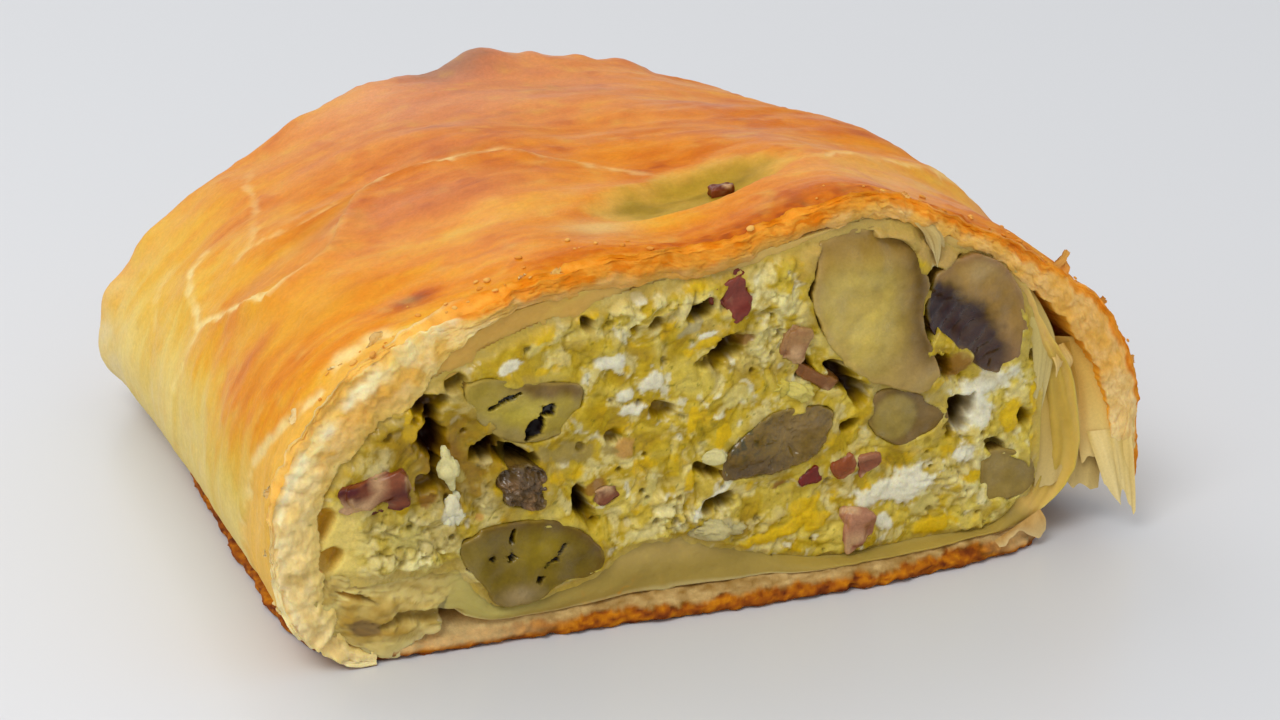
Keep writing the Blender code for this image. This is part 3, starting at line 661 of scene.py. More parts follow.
def crust_colour(s, y):
    """Colour of the crust: pale yellow low on the sides, orange above, with streaks along the cut."""
    baked = 0.60 + 0.10 * bell(s, 50)
    baked = baked - 0.24 * rising(-s, 54, 78) - 0.12 * rising(s, 58, 76)
    for at_s, at_y, reach_s, reach_y, amount in BAKED:
        baked = baked + amount * bell(s - at_s, reach_s) * bell(y - at_y, reach_y)
    slant = y + 0.16 * s + 1.5 * rough(s, y, 14, 40)
    baked = baked + 0.060 * rough(s / 4, slant, 2.4, 41, 4) + 0.10 * rough(s / 1.8, slant, 9, 42, 3)
    baked = baked + 0.060 * rough(s / 5, slant, 0.9, 38, 3)
    baked = baked + 0.050 * rough(s, y, 2.2, 43, 4)
    blister = rising(rough(s / 1.6, y, 2.6, 48, 3), 0.55, 0.95)
    baked = baked + 0.10 * blister * rising(s + 60, 0, 20)
    rim = bell(y, 4) * rising(s, -40, -24)
    baked = baked + (0.06 + 0.16 * rough(s, y, 1.5, 44, 4)) * rim
    golden = rising(rough(s / 2, y, 9, 49, 3), -0.1, 0.8) * rising(-s, 24, 48) * (1 - rising(-s, 54, 66))
    pale = rising(rough(s / 1.5, y, 7, 37, 3), 0.25, 0.9) * rising(-s, 30, 56)
    # Painted sheen: a pinkish haze of reflected light over the top at the back, and on a patch left of the
    # crown.
    painted_sheen = rising(y, 40, 70) * bell(s + 4, 30) + 0.5 * bell(y - 30, 8) * bell(s + 28, 16)
    corner = in_bell(s, y, -68, 84, 13, 9) * np.clip(0.7 + 0.8 * rough(s, y, 5, 32, 3), 0, 1)
    tint = layers(
        ramp(baked, BAKE_STOPS),
        ((240, 184, 60), 0.45 * golden),
        ((240, 208, 120), 0.40 * pale),
        ((222, 160, 124), 0.50 * painted_sheen),
        # Painted sheen: a pinkish patch of reflected light near the cut, right of the crown.
        ((236, 176, 130), 0.40 * bell(s - 18, 15) * bell(y - 12, 7)),
        ((236, 216, 164), 0.80 * corner),
    )
    # Painted shade: the low left side made darker, as on the side away from the light.
    tint = mottled(tint, -0.09 * rising(-s, 62, 74) * (1 - corner))
    under_skin = mottled(colour(240, 184, 84), 0.06 * rough(s / 5, slant, 1.6, 39, 3))
    tint = paint(tint, under_skin, 0.75 * torn_off(s, y))
    share = slash_share(s, np.where(y > SLASH_Y, SLASH_Y + 0.72 * (y - SLASH_Y), y))
    vent = rising(share + 0.22 * rough(s, y, 3.0, 36, 4), 0.30, 1.0)
    tint = layers(
        tint,
        ((228, 194, 126), 0.75 * in_bell(s, y, -17, 11.5, 4.5, 3.0)),
        ((226, 178, 84), 0.80 * rising(share + 0.25 * rough(s, y, 2.6, 47, 4), 0.0, 0.6)),
    )
    tint = paint(tint, mottled(colour(*VENT), 0.20 * rough(s / 2, y, 1.2, 45, 4)), vent * 0.92)
    tint = layers(tint, ((140, 112, 44), 0.60 * vent * bell(y - SLASH_Y - 1.4 - 0.1 * s, 1.1)))
    return paint(tint, mottled(colour(*CREAM), 0.05 * rough(s, y, 0.9, 46)), crack_field(s, y) * 0.8)


def above_end_fold(x, z):
    """Height over the fold where the closed end's upper layer laps over the tucked-in lower one."""
    return z - 12 - 6 * bell(x - 4, 24) - 1.4 * rough(x, 0 * x, 11, 56, 2)


def end_relief(x, z):
    """How far the closed end stands out: the lap, and soft creases where the corners were tucked in."""
    above = above_end_fold(x, z)
    height = 1.2 * rising(above, -0.9, 0.7) * bell(np.maximum(above, 0), 16)
    for crease_x, lean, deep in ((-38, 0.45, 0.8), (-16, 0.20, 0.5), (33, -0.42, 0.8)):
        away = x - crease_x - lean * z + 1.2 * rough(x, z, 7, 57)
        height = height - deep * bell(away, 1.8) * (1 - rising(z, 22, 36))
    return height + 0.45 * rough(x, z, 10, 58, 3) + 0.06 * rough(x, z, 1.6, 59, 3)


def end_colour(x, z):
    """Colour of the closed end: golden, paler low down and in the fold, browned where the lap stands out."""
    above = above_end_fold(x, z)
    baked = 0.28 + 0.26 * rising(z, 3, 34) + 0.16 * rough(x / 1.5, z, 8, 33, 3)
    baked = baked + 0.08 * rough(x, z, 2.2, 34, 4)
    baked = baked + 0.10 * bell(above - 1.4, 2.2) - 0.08 * bell(above + 1.6, 1.4)
    crack = bell(above + 0.4, 0.45) * rising(rough(x, 0 * x, 6, 35, 3), -0.1, 0.5)
    return layers(ramp(baked, BAKE_STOPS), (CREAM, 0.7 * crack))


SKIN_COLUMNS = 580
# Where the skin starts and stops, as shares of the outline from the crown; it stops earlier on the free flap.
SKIN_START = -0.665
FLAP_TIP, FOOT_TIP = 0.60, 0.72


def skin_grid():
    """The skin's points, with each one's distance from the crown line and depth."""
    shrinking = np.linspace(0.75, 0.06, 28)
    depths = np.concatenate([
        np.linspace(0, 4, 16, endpoint=False), np.linspace(4, 14, 24, endpoint=False),
        np.linspace(14, 84, 76, endpoint=False), np.linspace(84, 95.45, 20, endpoint=False),
        LENGTH - END_ROUNDING + END_ROUNDING * (1 - shrinking**4) ** (1 / 3),
    ])
    points, runs = [], []
    for depth in depths:
        x, z, s = crust_outline(depth)
        end = FLAP_TIP + (FOOT_TIP - FLAP_TIP) * rising(depth, 6, 24)
        share = np.linspace(SKIN_START, end, SKIN_COLUMNS)
        at = np.where(share < 0, -share * s.min(), share * s.max())
        y = depth + torn_edge(at) * max(0.0, 1 - depth / 10)
        points.append(np.stack([np.interp(at, s, x), y, np.interp(at, s, z)], axis=1))
        runs.append(at)
    points, runs = np.array(points), np.array(runs)
    outward = points - np.array([2.0, 0, 14.0])
    outward[..., 1] = np.clip(outward[..., 1] - 84, 0, None)
    normals = grid_normals(points, outward)
    x, y, z = np.moveaxis(points, -1, 0)
    at_end = rising(y, 89, 94)
    lift = crust_relief(runs, y) * (1 - at_end) + end_relief(x, z) * at_end
    points = points + normals * (lift * np.clip((z - 2) / 10, 0.1, 1))[..., None]
    points[..., 2] = np.maximum(points[..., 2], 0.15)
    return points, runs


def make_skin(points, runs, material):
    """The baked skin: its sheet of points, with a cap at the closed end."""
    rows, columns = runs.shape
    x, y, z = np.moveaxis(points, -1, 0)
    at_end = rising(y + 1.2 * rough(x, z, 7, 55), 87, 93)
    tint = paint(crust_colour(runs, y), end_colour(x, z), at_end).reshape(-1, 3)
    tint = layers(tint, ((206, 134, 58), 0.5 * (1 - rising(z.ravel(), 0.8, 4.0))))
    dry = 0.45 + 0.45 * rough(runs / 3, y, 5, 51) + 0.8 * bell(y - 1, 3)
    dry = dry + 0.5 * rising(-runs, 62, 84) + 0.8 * crack_field(runs, y)
    end = np.tile(points[-1].mean(axis=0) * (1, 1, 0) + (0, 0, 0.15), (columns, 1))
    start, last = rows * columns, (rows - 1) * columns
    closing = np.arange(columns - 1)
    cap = np.stack([last + closing, start + closing, start + closing + 1, last + closing + 1], axis=1)
    quads = np.vstack([grid_quads(rows, columns)[:, ::-1], cap])
    tint = np.vstack([tint, np.tile(tint[-1], (columns, 1))])
    dry = np.concatenate([dry.ravel(), np.full(columns, 0.5)])
    flat = np.vstack([points.reshape(-1, 3), end])
    return make_mesh("crust_skin", flat, quads, tint, material, "pastry", dry, ON_CRUST)


# The crust's broken face


# Thickness of the crust at the cut, by distance from the crown line.
WALL = (
    (-98, 1.2), (-94, 2.4), (-88, 5.0), (-80, 5.8), (-70, 5.6), (-63, 6.6), (-58, 7.3), (-53, 7.5),
    (-47, 7.0), (-43, 5.2), (-40, 3.6), (-37, 2.8), (-30, 2.9), (-20, 3.6), (-10, 3.7), (0, 3.0), (11, 3.4),
    (16, 2.7), (24, 2.5), (32, 2.6), (38, 3.8), (44, 4.6), (51, 5.4), (59, 5.2), (66, 4.5), (71, 3.8),
    (75, 2.4), (77, 1.0),
)
LEDGE_ROWS, CRUMB_ROWS = 12, 34
CRUMB_DRY = 0.8


def face_inward(x, z):
    """Unit normals of an outline, towards its inside."""
    dx, dz = np.gradient(x), np.gradient(z)
    size = np.hypot(dx, dz) + 1e-9
    return dz / size, -dx / size


def flake_cells(s, inset, long, thick, seed):
    """Random heights, -0.5 to 0.5, of flakes long by thick lying along the crust, and the gaps between."""
    along = s + 1.6 * rough(s, inset * 2, 2.4, seed, 3)
    through = inset + 0.9 * rough(s, inset * 1.5, 2.6, seed + 1, 3)
    near, following, name = cells(along / long, through / thick, 1.0, seed + 2)
    return name - 0.5, 1 - rising(following - near, 0.02, 0.30)


def make_cut(points, runs, material):
    """The crumb: a torn layer from under the skin, broken flakes, and the start of the inside."""
    (edge_x, edge_y, edge_z), s = points[0].T, runs[0]
    inward_x, inward_z = face_inward(smoothed(edge_x, 20, "edge"), smoothed(edge_z, 20, "edge"))
    wall = read(WALL, s) * (1 + 0.08 * rough(s, 0 * s, 5, 61)) + 0.25 * rough(s, 0 * s, 1.2, 62)
    left, under = rising(-s, 34, 46), rising(-s, 90, 99)
    right = rising(s, 10, 18) * (1 - rising(s, 56, 66))
    front = 0.5 + 0.35 * rough(s, 0 * s, 2.4, 63, 3) + 0.4 * right + 2.0 * under
    ledge = np.maximum(edge_y - 1.3 - 0.9 * rough(s, 0 * s, 2.2, 68, 3), 0.4)
    ledge = front * (1 - left) + ledge * left
    sheet = Sheet()

    def add(inset, y, tint, dry, frill=0.0):
        x = edge_x + inward_x * inset - inward_x * 0.9 * np.maximum(frill, 0)
        z = edge_z + inward_z * inset - inward_z * 0.9 * np.maximum(frill, 0)
        sheet.add(x, y, np.maximum(z, 0.2), tint, dry)

    for t in np.linspace(0, 1, LEDGE_ROWS):
        y = edge_y * (1 - t) + ledge * t + 0.20 * math.sin(math.pi * t) * rough(s, 0 * s + 4 * t, 1.0, 64)
        shade = 0.5 + 0.5 * rough(s, y, 1.6, 65, 3)
        toasted = blend((224, 126, 30), (238, 160, 62), shade)
        golden = blend((236, 174, 78), (242, 192, 100), shade)
        patchy = np.clip(0.6 + 0.8 * rough(s, 0 * s, 3.5, 66), 0, 1)
        tint = layers(
            paint(toasted, golden, left),
            ((246, 222, 162), bell(t, 0.14) * (0.75 * left + 0.25 * right) * patchy),
            ((244, 226, 168), 0.85 * rising(-s, 68, 80)),
        )
        add(0.45 * t + 0.10 * min(1, t * 10), y, tint, CRUMB_DRY)
    for share in np.linspace(0.02, 1, CRUMB_ROWS):
        inset = 0.55 + share * (wall - 0.55)
        big, big_gap = flake_cells(s, inset, 5.5, 1.15, 301)
        small, small_gap = flake_cells(s, inset, 1.7, 0.45, 311)
        ridged = 1 - np.abs(rough(s / 4, inset * 1.4, 0.8, 321, 3))
        calm = 0.40 + 0.60 * rising(rough(s, inset, 5.0, 322, 2), -0.3, 0.5)
        amount = (0.45 - 0.34 * left) * calm * min(1, share * 5) * (1 - 0.6 * rising(share, 0.6, 1))
        flaky = 0.9 * big + 0.25 * small + 0.30 * big_gap + 0.10 * small_gap - 0.35 * ridged + 0.3
        frill = left * bell(share - 0.12, 0.14) * rough(s, inset, 2.2, 76, 5, 0.6)
        y = ledge * (1 - share) ** 1.25 + (0.5 + under) * share
        y = y - 0.6 * frill + 0.16 * left * rough(s, inset, 0.8, 79, 3) + amount * flaky
        y = y - 0.4 * math.sin(math.pi * share) + (0.30 + 0.12 * left) * rough(s, inset, 1.9, 67, 5, 0.6)
        tint = cut_colour(s, share, inset, big, small, big_gap, small_gap, ridged)
        add(inset, y, tint, CRUMB_DRY, frill)
    face = sheet.last_depths()
    # Painted glow: the inner face turns bright orange on the right, as if lit through the flap.
    inside = blend((216, 172, 96), (250, 172, 60), rising(s, 36, 44))
    for depth in (1.2, 2.2, 3.6, 5.5, 8, 11, 15, 20, 26):
        # The inner face keeps clear of the skin under the slash.
        under_slash = 2.0 * bell(s - SLASH_S, 14) * rising(depth, 5, 10)
        add(wall * (1 - 0.25 * rising(depth, 4, 26)) + under_slash, face + depth - 0.6, inside, 0.4)
    return sheet.make("crust_cut", material, round_columns=False)


def cut_colour(s, share, inset, big, small, big_gap, small_gap, ridged):
    """Colour of the crumb: golden near the skin, cream in the flakes, toasted along the top."""
    left, low = rising(-s, 34, 46), rising(-s, 62, 76)
    top = rising(s, -40, -28) * (1 - rising(s, 4, 16))
    right = rising(s, 4, 16) * (1 - rising(s, 56, 68))
    layered = 1 - 0.9 * left
    uneven = 0.9 * rough(s, inset * 1.5, 2.0, 73, 4)
    stands = np.clip(0.35 - (0.4 * big + 0.3 * small) * layered + uneven, 0, 1)
    frilly = np.clip(0.4 + 1.1 * rough(s, inset, 2.2, 75, 4), 0, 1)
    feathery = left * bell(share - 0.12 - 0.24 * bell(s + 57, 8), 0.13) * frilly
    strands = left * rising(rough(s / 5, inset * 1.3 + 0.12 * s, 1.0, 77, 3), 0.1, 0.7)
    crumb = layers(
        blend((234, 178, 82), (236, 196, 108), rising(share + 0 * s, 0.05, 0.5)),
        ((242, 204, 116), 0.80 * left * (1 - rising(share, 0.1, 0.7))),
        ((222, 166, 72), 0.75 * left * rising(share, 0.3, 0.8) * (1 - low)),
        ((248, 226, 166), 0.80 * stands),
        ((237, 178, 78), 0.85 * bell(s + 57, 8) * (1 - rising(inset, 0.9, 2.2))),
        ((254, 242, 204), 0.92 * feathery),
        ((250, 228, 164), 0.45 * strands),
        ((228, 168, 68), 0.75 * bell(s + 54, 8) * rising(share, 0.15, 0.5) * (1 - 0.6 * feathery)),
        ((226, 196, 108), 0.55 * left * rising(share, 0.55, 0.95)),
        ((236, 212, 150), 0.6 * low),
        ((192, 160, 90), 0.6 * low * rising(rough(s, inset, 2.4, 78, 3), 0.1, 0.7)),
        ((220, 190, 104), 0.5 * low * rising(share, 0.55, 0.9)),
        ((212, 150, 66), 0.75 * top),
        ((228, 164, 72), 0.60 * right),
        ((238, 204, 140), 0.6 * rising(s, 56, 66)),
    )
    toasted = 0.7 + 1.6 * top + 0.5 * right + 0.45 * rough(s, 0 * s, 1.8, 72, 3)
    toast = (1 - rising(inset, toasted * 0.7, toasted * 1.25)) * (1 - 0.85 * rising(-s, 36, 50))
    crumb = paint(crumb, blend((216, 116, 24), (238, 160, 60), 0.3 + small + 0.4 * ridged), 0.92 * toast)
    # Painted shade in the gaps between the flakes.
    crumb = layers(crumb, ((196, 136, 56), (0.22 * big_gap + 0.10 * small_gap) * layered))
    return mottled(crumb, (0.05 + 0.05 * left) * rough(s, inset * 2, 0.7, 74, 3))


# The dough inside the crust


# Thickness of the dough round the filling, outwards, by distance along the filling's edge from its crown.
DOUGH = (
    (-72, 4.0), (-69, 2.4), (-62, 1.3), (-48, 1.2), (-43, 2.0), (-38, 3.2), (-32, 3.8), (-25, 3.2),
    (-18, 2.4), (-10, 1.7), (0, 1.9), (8, 1.3), (17, 1.7), (25, 1.1), (32, 1.8), (40, 1.5), (43, 2.4),
    (48, 5.0), (53, 6.3), (57, 7.0), (60, 6.6), (62.5, 5.0), (65, 3.0),
)
DOUGH_COLUMNS, DOUGH_ROWS = 760, 36
CRUMB_TOP = 2.3


def closed_outward(x, z):
    """Unit normals of a closed outline, away from its inside."""
    dx, dz = np.roll(x, -1) - np.roll(x, 1), np.roll(z, -1) - np.roll(z, 1)
    size = np.hypot(dx, dz) + 1e-9
    return -dz / size, dx / size


def crumb_top(x):
    """Height of the base's crumb; at the left end the dough reaches down to the plate."""
    return 0.5 + (CRUMB_TOP - 0.5) * rising(x, -44, -38)


def make_dough(material):
    """The smooth, moist dough between the crumb and the filling, with its stretched part on the right."""
    x, z, s = cavity_outline(0.0)
    at = np.linspace(s[0], s[-1] + 1.5, DOUGH_COLUMNS, endpoint=False)
    x, z = np.interp(at, s, x), np.interp(at, s, z)
    out_x, out_z = (smoothed(out, 15, "wrap") for out in closed_outward(x, z))
    on_floor = rising(-at, 71, 78) + rising(at, 63.5, 66)
    reach = read(DOUGH, at) * (1 - on_floor) + np.maximum(z - crumb_top(x), 0.5) * on_floor
    reach = reach + 2.6 * bell(at + 72.5, 4.5)
    right = rising(at, 41, 48) * (1 - rising(at, 61, 65))
    left = rising(-at, 46, 56) * (1 - rising(-at, 74, 80))
    low_left = rising(-at, 60, 70) * rising(-x, 30, 40)
    sheet = Sheet()
    for depth in (9, 5, 3, 1.8):
        sheet.add(x - 0.3 * out_x, 0.9 + depth, z - 0.3 * out_z, plain((190, 170, 100), x), 0.2)
    for share in np.linspace(0, 1, DOUGH_ROWS):
        px, pz = x + out_x * (share * reach - 0.3), z + out_z * (share * reach - 0.3)
        y = 1.1 - 0.5 * share + 0.25 * rough(px, pz, 5, 81, 3) + 0.05 * rough(px, pz, 0.9, 82, 3)
        y = y - 0.5 * on_floor * math.sin(math.pi * share) - shelf(px, pz) * on_floor
        curtain = np.sin(share * 9 + 2.2 * rough(px / 4, pz / 6, 3, 83)) + 0.5 * np.sin(share * 21 + pz * 0.4)
        y = y + right * (0.35 * curtain + 1.2 * math.sin(math.pi * share) * bell(pz - 14, 9))
        flake, flake_gap = flake_cells(px, pz + 0.10 * px, 7.0, 1.1, 331)
        y = y + low_left * (0.45 * flake + 0.22 * flake_gap + 0.30 * rough(px, pz, 1.4, 84, 4))
        y = y + 1.8 * dough_hollows(px, pz)
        tint = dough_colour(px, pz, share, on_floor, left, low_left, right, curtain, flake, flake_gap)
        dry = 0.25 + 0.4 * left + 0.5 * low_left + 0.3 * right + 0.2 * rough(px, pz, 3, 85)
        sheet.add(px, y, np.maximum(pz, 0.4), tint, dry)
    face = sheet.last_depths()
    # Painted glow: the inner faces turn bright orange on the right, as if lit through the flap.
    inside = blend((226, 196, 120), (246, 176, 76), right)
    for depth in (0.8, 2, 4, 7, 11, 16, 22, 28):
        shut = 1 - 0.6 * rising(depth, 14, 28)
        px, pz = x + out_x * (reach * shut - 0.3), z + out_z * (reach * shut - 0.3)
        sheet.add(px, face + depth, np.maximum(pz, 0.4), inside, 0.4)
    return sheet.make("inner_dough", material)


# Hollows between the dough's layers: middle x and z, half sizes and lean in degrees.
DOUGH_HOLLOWS = (
    (-50.2, 13.8, 2.2, 1.5, 32), (-50.4, 18.4, 1.3, 2.0, -20), (-38.6, 4.9, 4.2, 0.8, -5),
    (-42.6, 4.7, 2.2, 0.35, 4), (-47.0, 8.6, 2.4, 0.3, -24), (-52.4, 8.6, 1.2, 0.35, -60),
)


def in_ellipse(x, z, middle_x, middle_z, half_x, half_z, lean):
    """Distance from an ellipse's middle in units of its size: 1 on its edge."""
    turn = math.radians(lean)
    across = (x - middle_x) * math.cos(turn) + (z - middle_z) * math.sin(turn)
    up = (z - middle_z) * math.cos(turn) - (x - middle_x) * math.sin(turn)
    return np.hypot(across / half_x, up / half_z)


def dough_hollows(x, z):
    """1 in the hollows between the dough's layers, 0 away from them."""
    ragged = 0.18 * rough(x, z, 1.4, 86)
    found = np.zeros(x.shape)
    for hollow in DOUGH_HOLLOWS:
        found = np.maximum(found, 1 - rising(in_ellipse(x, z, *hollow) + ragged, 0.65, 1.1))
    return found


def dough_colour(x, z, share, on_floor, left, low_left, right, curtain, flake, flake_gap):
    """Colour of the dough: beige over the filling, olive under it, cream at the left, straw at the right."""
    tint = layers(
        plain((224, 184, 106), x),
        ((208, 162, 78), 0.8 * rising(-x, 8, 22)),
        ((222, 186, 92), 0.5 * rising(rough(x, z, 3.5, 79, 3), 0.0, 0.7)),
        ((166, 142, 72), on_floor),
        ((186, 160, 92), on_floor * rising(z, 5, 8) * bell(x + 9, 12)),
        ((186, 172, 98), on_floor * rising(-x, 20, 34)),
        ((224, 196, 108), left),
    )
    layered = blend((172, 138, 62), (220, 198, 124), 0.5 + flake + 0.4 * rough(x, z, 2.0, 88))
    hollow = dough_hollows(x, z)
    strip = 1 - rising(in_ellipse(x, z, -46.3, 4.9, 2.0, 1.0, -12) + 0.15 * rough(x, z, 1.0, 89), 0.8, 1.05)
    crumbs = rising(rough(x, z, 0.9, 90), 0.35, 0.7) * bell(x + 16, 3.5) * bell(z - 3.4, 1.2) * on_floor
    tint = layers(
        paint(tint, layered, low_left),
        # painted shade in the gaps between the flakes
        ((190, 160, 84), 0.45 * low_left * flake_gap),
        ((200, 166, 76), right),
        ((216, 184, 98), right * np.clip(curtain, 0, 1) * 0.6),
        # painted shade in the hollows between the dough's layers
        ((206, 160, 66), 0.85 * hollow * (x < -46)),
        ((176, 146, 74), 0.7 * hollow * (x >= -46)),
        ((224, 206, 150), 0.5 * on_floor * rising(share, 0.86, 1.0)),
        ((128, 102, 66), 0.90 * strip),
        ((206, 140, 40), 0.9 * crumbs),
    )
    return mottled(tint, 0.06 * rough(x, z, 2.5, 87))


# The crisp base


# The base's edge on the plate, seen from above, from the front left corner along the front and round.
FOOTPRINT = (
    (-46, 1.4), (-38, 0.2), (-28, -0.5), (-14, -1.7), (0, -3.0), (16, -3.6), (30, -2.8), (37, -1.4),
    (41.0, 1.0), (42.2, 8), (43.4, 14), (47.0, 20), (50.0, 27), (50.6, 45), (49.0, 65), (46, 80), (37, 90),
    (20, 94), (0, 94.6), (-20, 94), (-38, 90), (-47.0, 82), (-50.9, 65), (-52.1, 45), (-52.6, 25),
    (-52.3, 13), (-50.1, 5.5),
)
BASE_COLUMNS = 1100
# Its rim in section: distance inwards from the edge, and height.
BASE_RIM = (
    (30, 0.1), (14, 0.06), (7, 0.04), (3.2, 0.03), (1.4, 0.02), (0.5, 0.1), (0.1, 0.35), (-0.05, 0.62),
    (0.0, 0.9), (0.1, 1.12), (0.3, 1.32), (0.6, 1.5), (0.95, 1.68), (1.25, 1.86), (1.5, 2.06), (1.75, 2.28),
    (2.05, 2.5), (2.5, 2.72), (3.2, 2.9), (4.4, 3.0), (6.0, 2.9),
)
# Depth and height of the underside's middle point, and the crisp rim's colours.
BASE_MIDDLE = (45.0, 0.12)
CRISP_STOPS = ((0, (92, 46, 8)), (0.5, (154, 84, 16)), (1, (200, 126, 38)))


def make_base(material):
    """The crisp brown underside with its crumbly rim, and the pale crumb over it at the cut."""
    x, y = smooth_loop(FOOTPRINT, BASE_COLUMNS).T
    out_x, out_y = (-inward for inward in closed_outward(x, y))
    front = 1 - rising(y, 3, 8)
    run = np.arange(BASE_COLUMNS) * 0.35
    sheet = Sheet()
    for inset, height in BASE_RIM:
        steep = (height > 0.05) and inset < 4
        lumps = (0.26 + 0.16 * front) * rough(run, height * 2.0 + 0 * run, 1.5, 91, 4)
        lumps = lumps + 0.18 * rough(run, height + 0 * run, 5.5, 92)
        out = -inset + (lumps if steep else 0)
        px, py = x + out_x * out, y + out_y * out
        pz = height * (0.86 + 0.14 * front) + (0.16 * rough(px * 2, py * 2 + 9, 2.2, 93, 3) if steep else 0)
        level = pz + 0.30 * rough(run, 0 * run, 1.3, 94) + 0.35 * rough(run, 0 * run, 6, 95)
        brown = np.maximum(1 - rising(level, 1.50, 2.00), 1 - front)
        crisp = ramp(0.5 + 0.55 * rough(run, height * 3 + 0 * run, 1.1, 96, 4), CRISP_STOPS)
        crumb = blend((146, 110, 56), (206, 174, 116), 0.5 + 0.5 * rough(run, height * 4 + 0 * run, 1.6, 97))
        pale = np.maximum(rising(-px, 20, 34), rising(px, 30, 38)) * front
        tint = layers(paint(crumb, crisp, brown), ((228, 200, 140), 0.6 * pale * rising(pz, 0.5, 1.2)))
        if not sheet.rows:
            sheet.add(np.zeros(BASE_COLUMNS), *BASE_MIDDLE, tint, CRUMB_DRY)
        sheet.add(px, py, np.maximum(pz, 0.02), tint, CRUMB_DRY)
    return sheet.make("crisp_base", material)


# Mushroom pieces


# Each piece's edge in the cut plane, how deep it reaches and how far it stands out.
MUSHROOMS = {
    "mushroom_large_slice": (
        (
            (9.9, 43.0), (14, 43.9), (18.4, 43.9), (21.6, 42.2), (23.2, 37.5), (23.1, 32.6), (24.3, 28.2),
            (25.8, 24.6), (23.6, 22.9), (20, 23.9), (16.9, 25.3), (13.5, 27.7), (10.7, 31.2), (8.8, 34.7),
            (8.6, 39.6),
        ),
        12, 0.9,
    ),
    "mushroom_gilled_cap": (
        (
            (23.9, 32.4), (24.5, 36.6), (27.3, 39.1), (30.6, 39.4), (34.0, 37.0), (36.3, 33.6), (37.4, 29.5),
            (36.9, 25.8), (34.6, 23.7), (32.2, 23.9), (30.0, 25.6), (27.6, 27.7), (25.0, 29.5),
        ),
        10, 0.4,
    ),
    "mushroom_left_half": (
        (
            (-33.6, 32.6), (-30.5, 32.9), (-27.3, 32.0), (-20.6, 30.6), (-19.7, 28.2), (-22.4, 24.9),
            (-26, 24.3), (-29.4, 25.4), (-32.6, 28.4), (-34, 31),
        ),
        9, 0.3,
    ),
    "mushroom_low_slice": (
        (
            (-34.9, 13.0), (-32.5, 14.6), (-29.6, 15.1), (-25.5, 14.9), (-21.6, 13.5), (-18.6, 10.8),
            (-17.5, 8.1), (-19.2, 6.5), (-22, 6.5), (-25, 5.0), (-27.8, 4.4), (-30.6, 4.9), (-32.8, 8.4),
            (-34.4, 11),
        ),
        9, 0.4,
    ),
    "mushroom_wet_slice": (
        (
            (-2.7, 17.3), (-1.5, 19.6), (1.8, 22.0), (3.9, 23.2), (8, 23.5), (10.9, 23.0), (12.0, 21.4),
            (10.8, 18.6), (9.4, 16.9), (6, 15.8), (1.4, 15.4), (-1.8, 15.7),
        ),
        9, 0.3,
    ),
    "mushroom_stem": (
        (
            (16.6, 23.0), (18.6, 24.0), (22, 23.2), (25.6, 21.4), (27.2, 19.1), (25.8, 17.3), (23.7, 16.3),
            (20.5, 16.3), (17.3, 18.5), (16.2, 21),
        ),
        9, 0.1,
    ),
    "mushroom_right_end": (
        (
            (32.2, 13.2), (34.4, 13.7), (36.6, 13.1), (39.0, 11.5), (39.6, 8.6), (37.8, 6.8), (35.2, 6.4),
            (32.7, 6.8), (32.0, 9.8),
        ),
        8, 0.2,
    ),
    "mushroom_dark_bit": (
        (
            (-30.5, 20.8), (-28.2, 22.2), (-25.0, 21.2), (-24.2, 18.2), (-25.3, 16.4), (-27.6, 16.7),
            (-29.8, 18.0),
        ),
        6, 0.6,
    ),
}
# Narrow slits in the cut mushrooms: end points, width and depth.
SLITS = (
    ((-31.0, 29.2), (-27.7, 30.7), 0.3, 0.8), ((-24.7, 27.6), (-23.7, 28.6), 0.6, 1.2),
    ((-26.4, 25.2), (-24.9, 27.0), 0.75, 1.4), ((-28.6, 14.2), (-28.8, 12.4), 0.25, 1.0),
    ((-28.8, 11.3), (-28.8, 10.4), 0.45, 1.2), ((-31.1, 11.5), (-31.1, 10.8), 0.3, 1.0),
    ((-25.4, 7.6), (-25.2, 7.0), 0.4, 1.0), ((-24.6, 8.8), (-21.6, 11.6), 0.18, 0.6),
    ((-24.0, 9.2), (-22.8, 10.4), 0.26, 0.8),
)
# The middle line of the cap's gills.
GILLS = ((24.2, 33.6), (26.5, 32.0), (29.1, 30.3), (31.4, 28.0), (32.7, 25.6))
# Points round and rows in from a piece's rim, and the points of its outline that the egg goes by.
MUSHROOM_COLUMNS, MUSHROOM_ROWS, MUSHROOM_SIDES = 200, 40, 60


def slit_depth(x, z):
    """Depth of the slits in the cut mushrooms."""
    found = np.zeros(x.shape)
    bent_x, bent_z = x + 0.25 * rough(x, z, 1.1, 128), z + 0.25 * rough(x, z, 1.1, 129)
    for start, stop, width, depth in SLITS:
        away, along = distance_to_path(bent_x, bent_z, (start, stop))
        half = width * (0.45 + 0.75 * np.sin(math.pi * np.clip(along, 0.02, 0.98)))
        away = away + 0.18 * rough(x, z, 0.7, 121, 3)
        found = np.maximum(found, depth * (1 - rising(away, half * 0.3, half * 1.5)))
    return found


def gill_waves(x, z):
    """Distance from the gills' middle line, how far along it, and a wave across the gills."""
    away, along = distance_to_path(x, z, GILLS)
    return away, along, np.sin(along * 46 + 1.6 * rough(x, z, 1.2, 124))


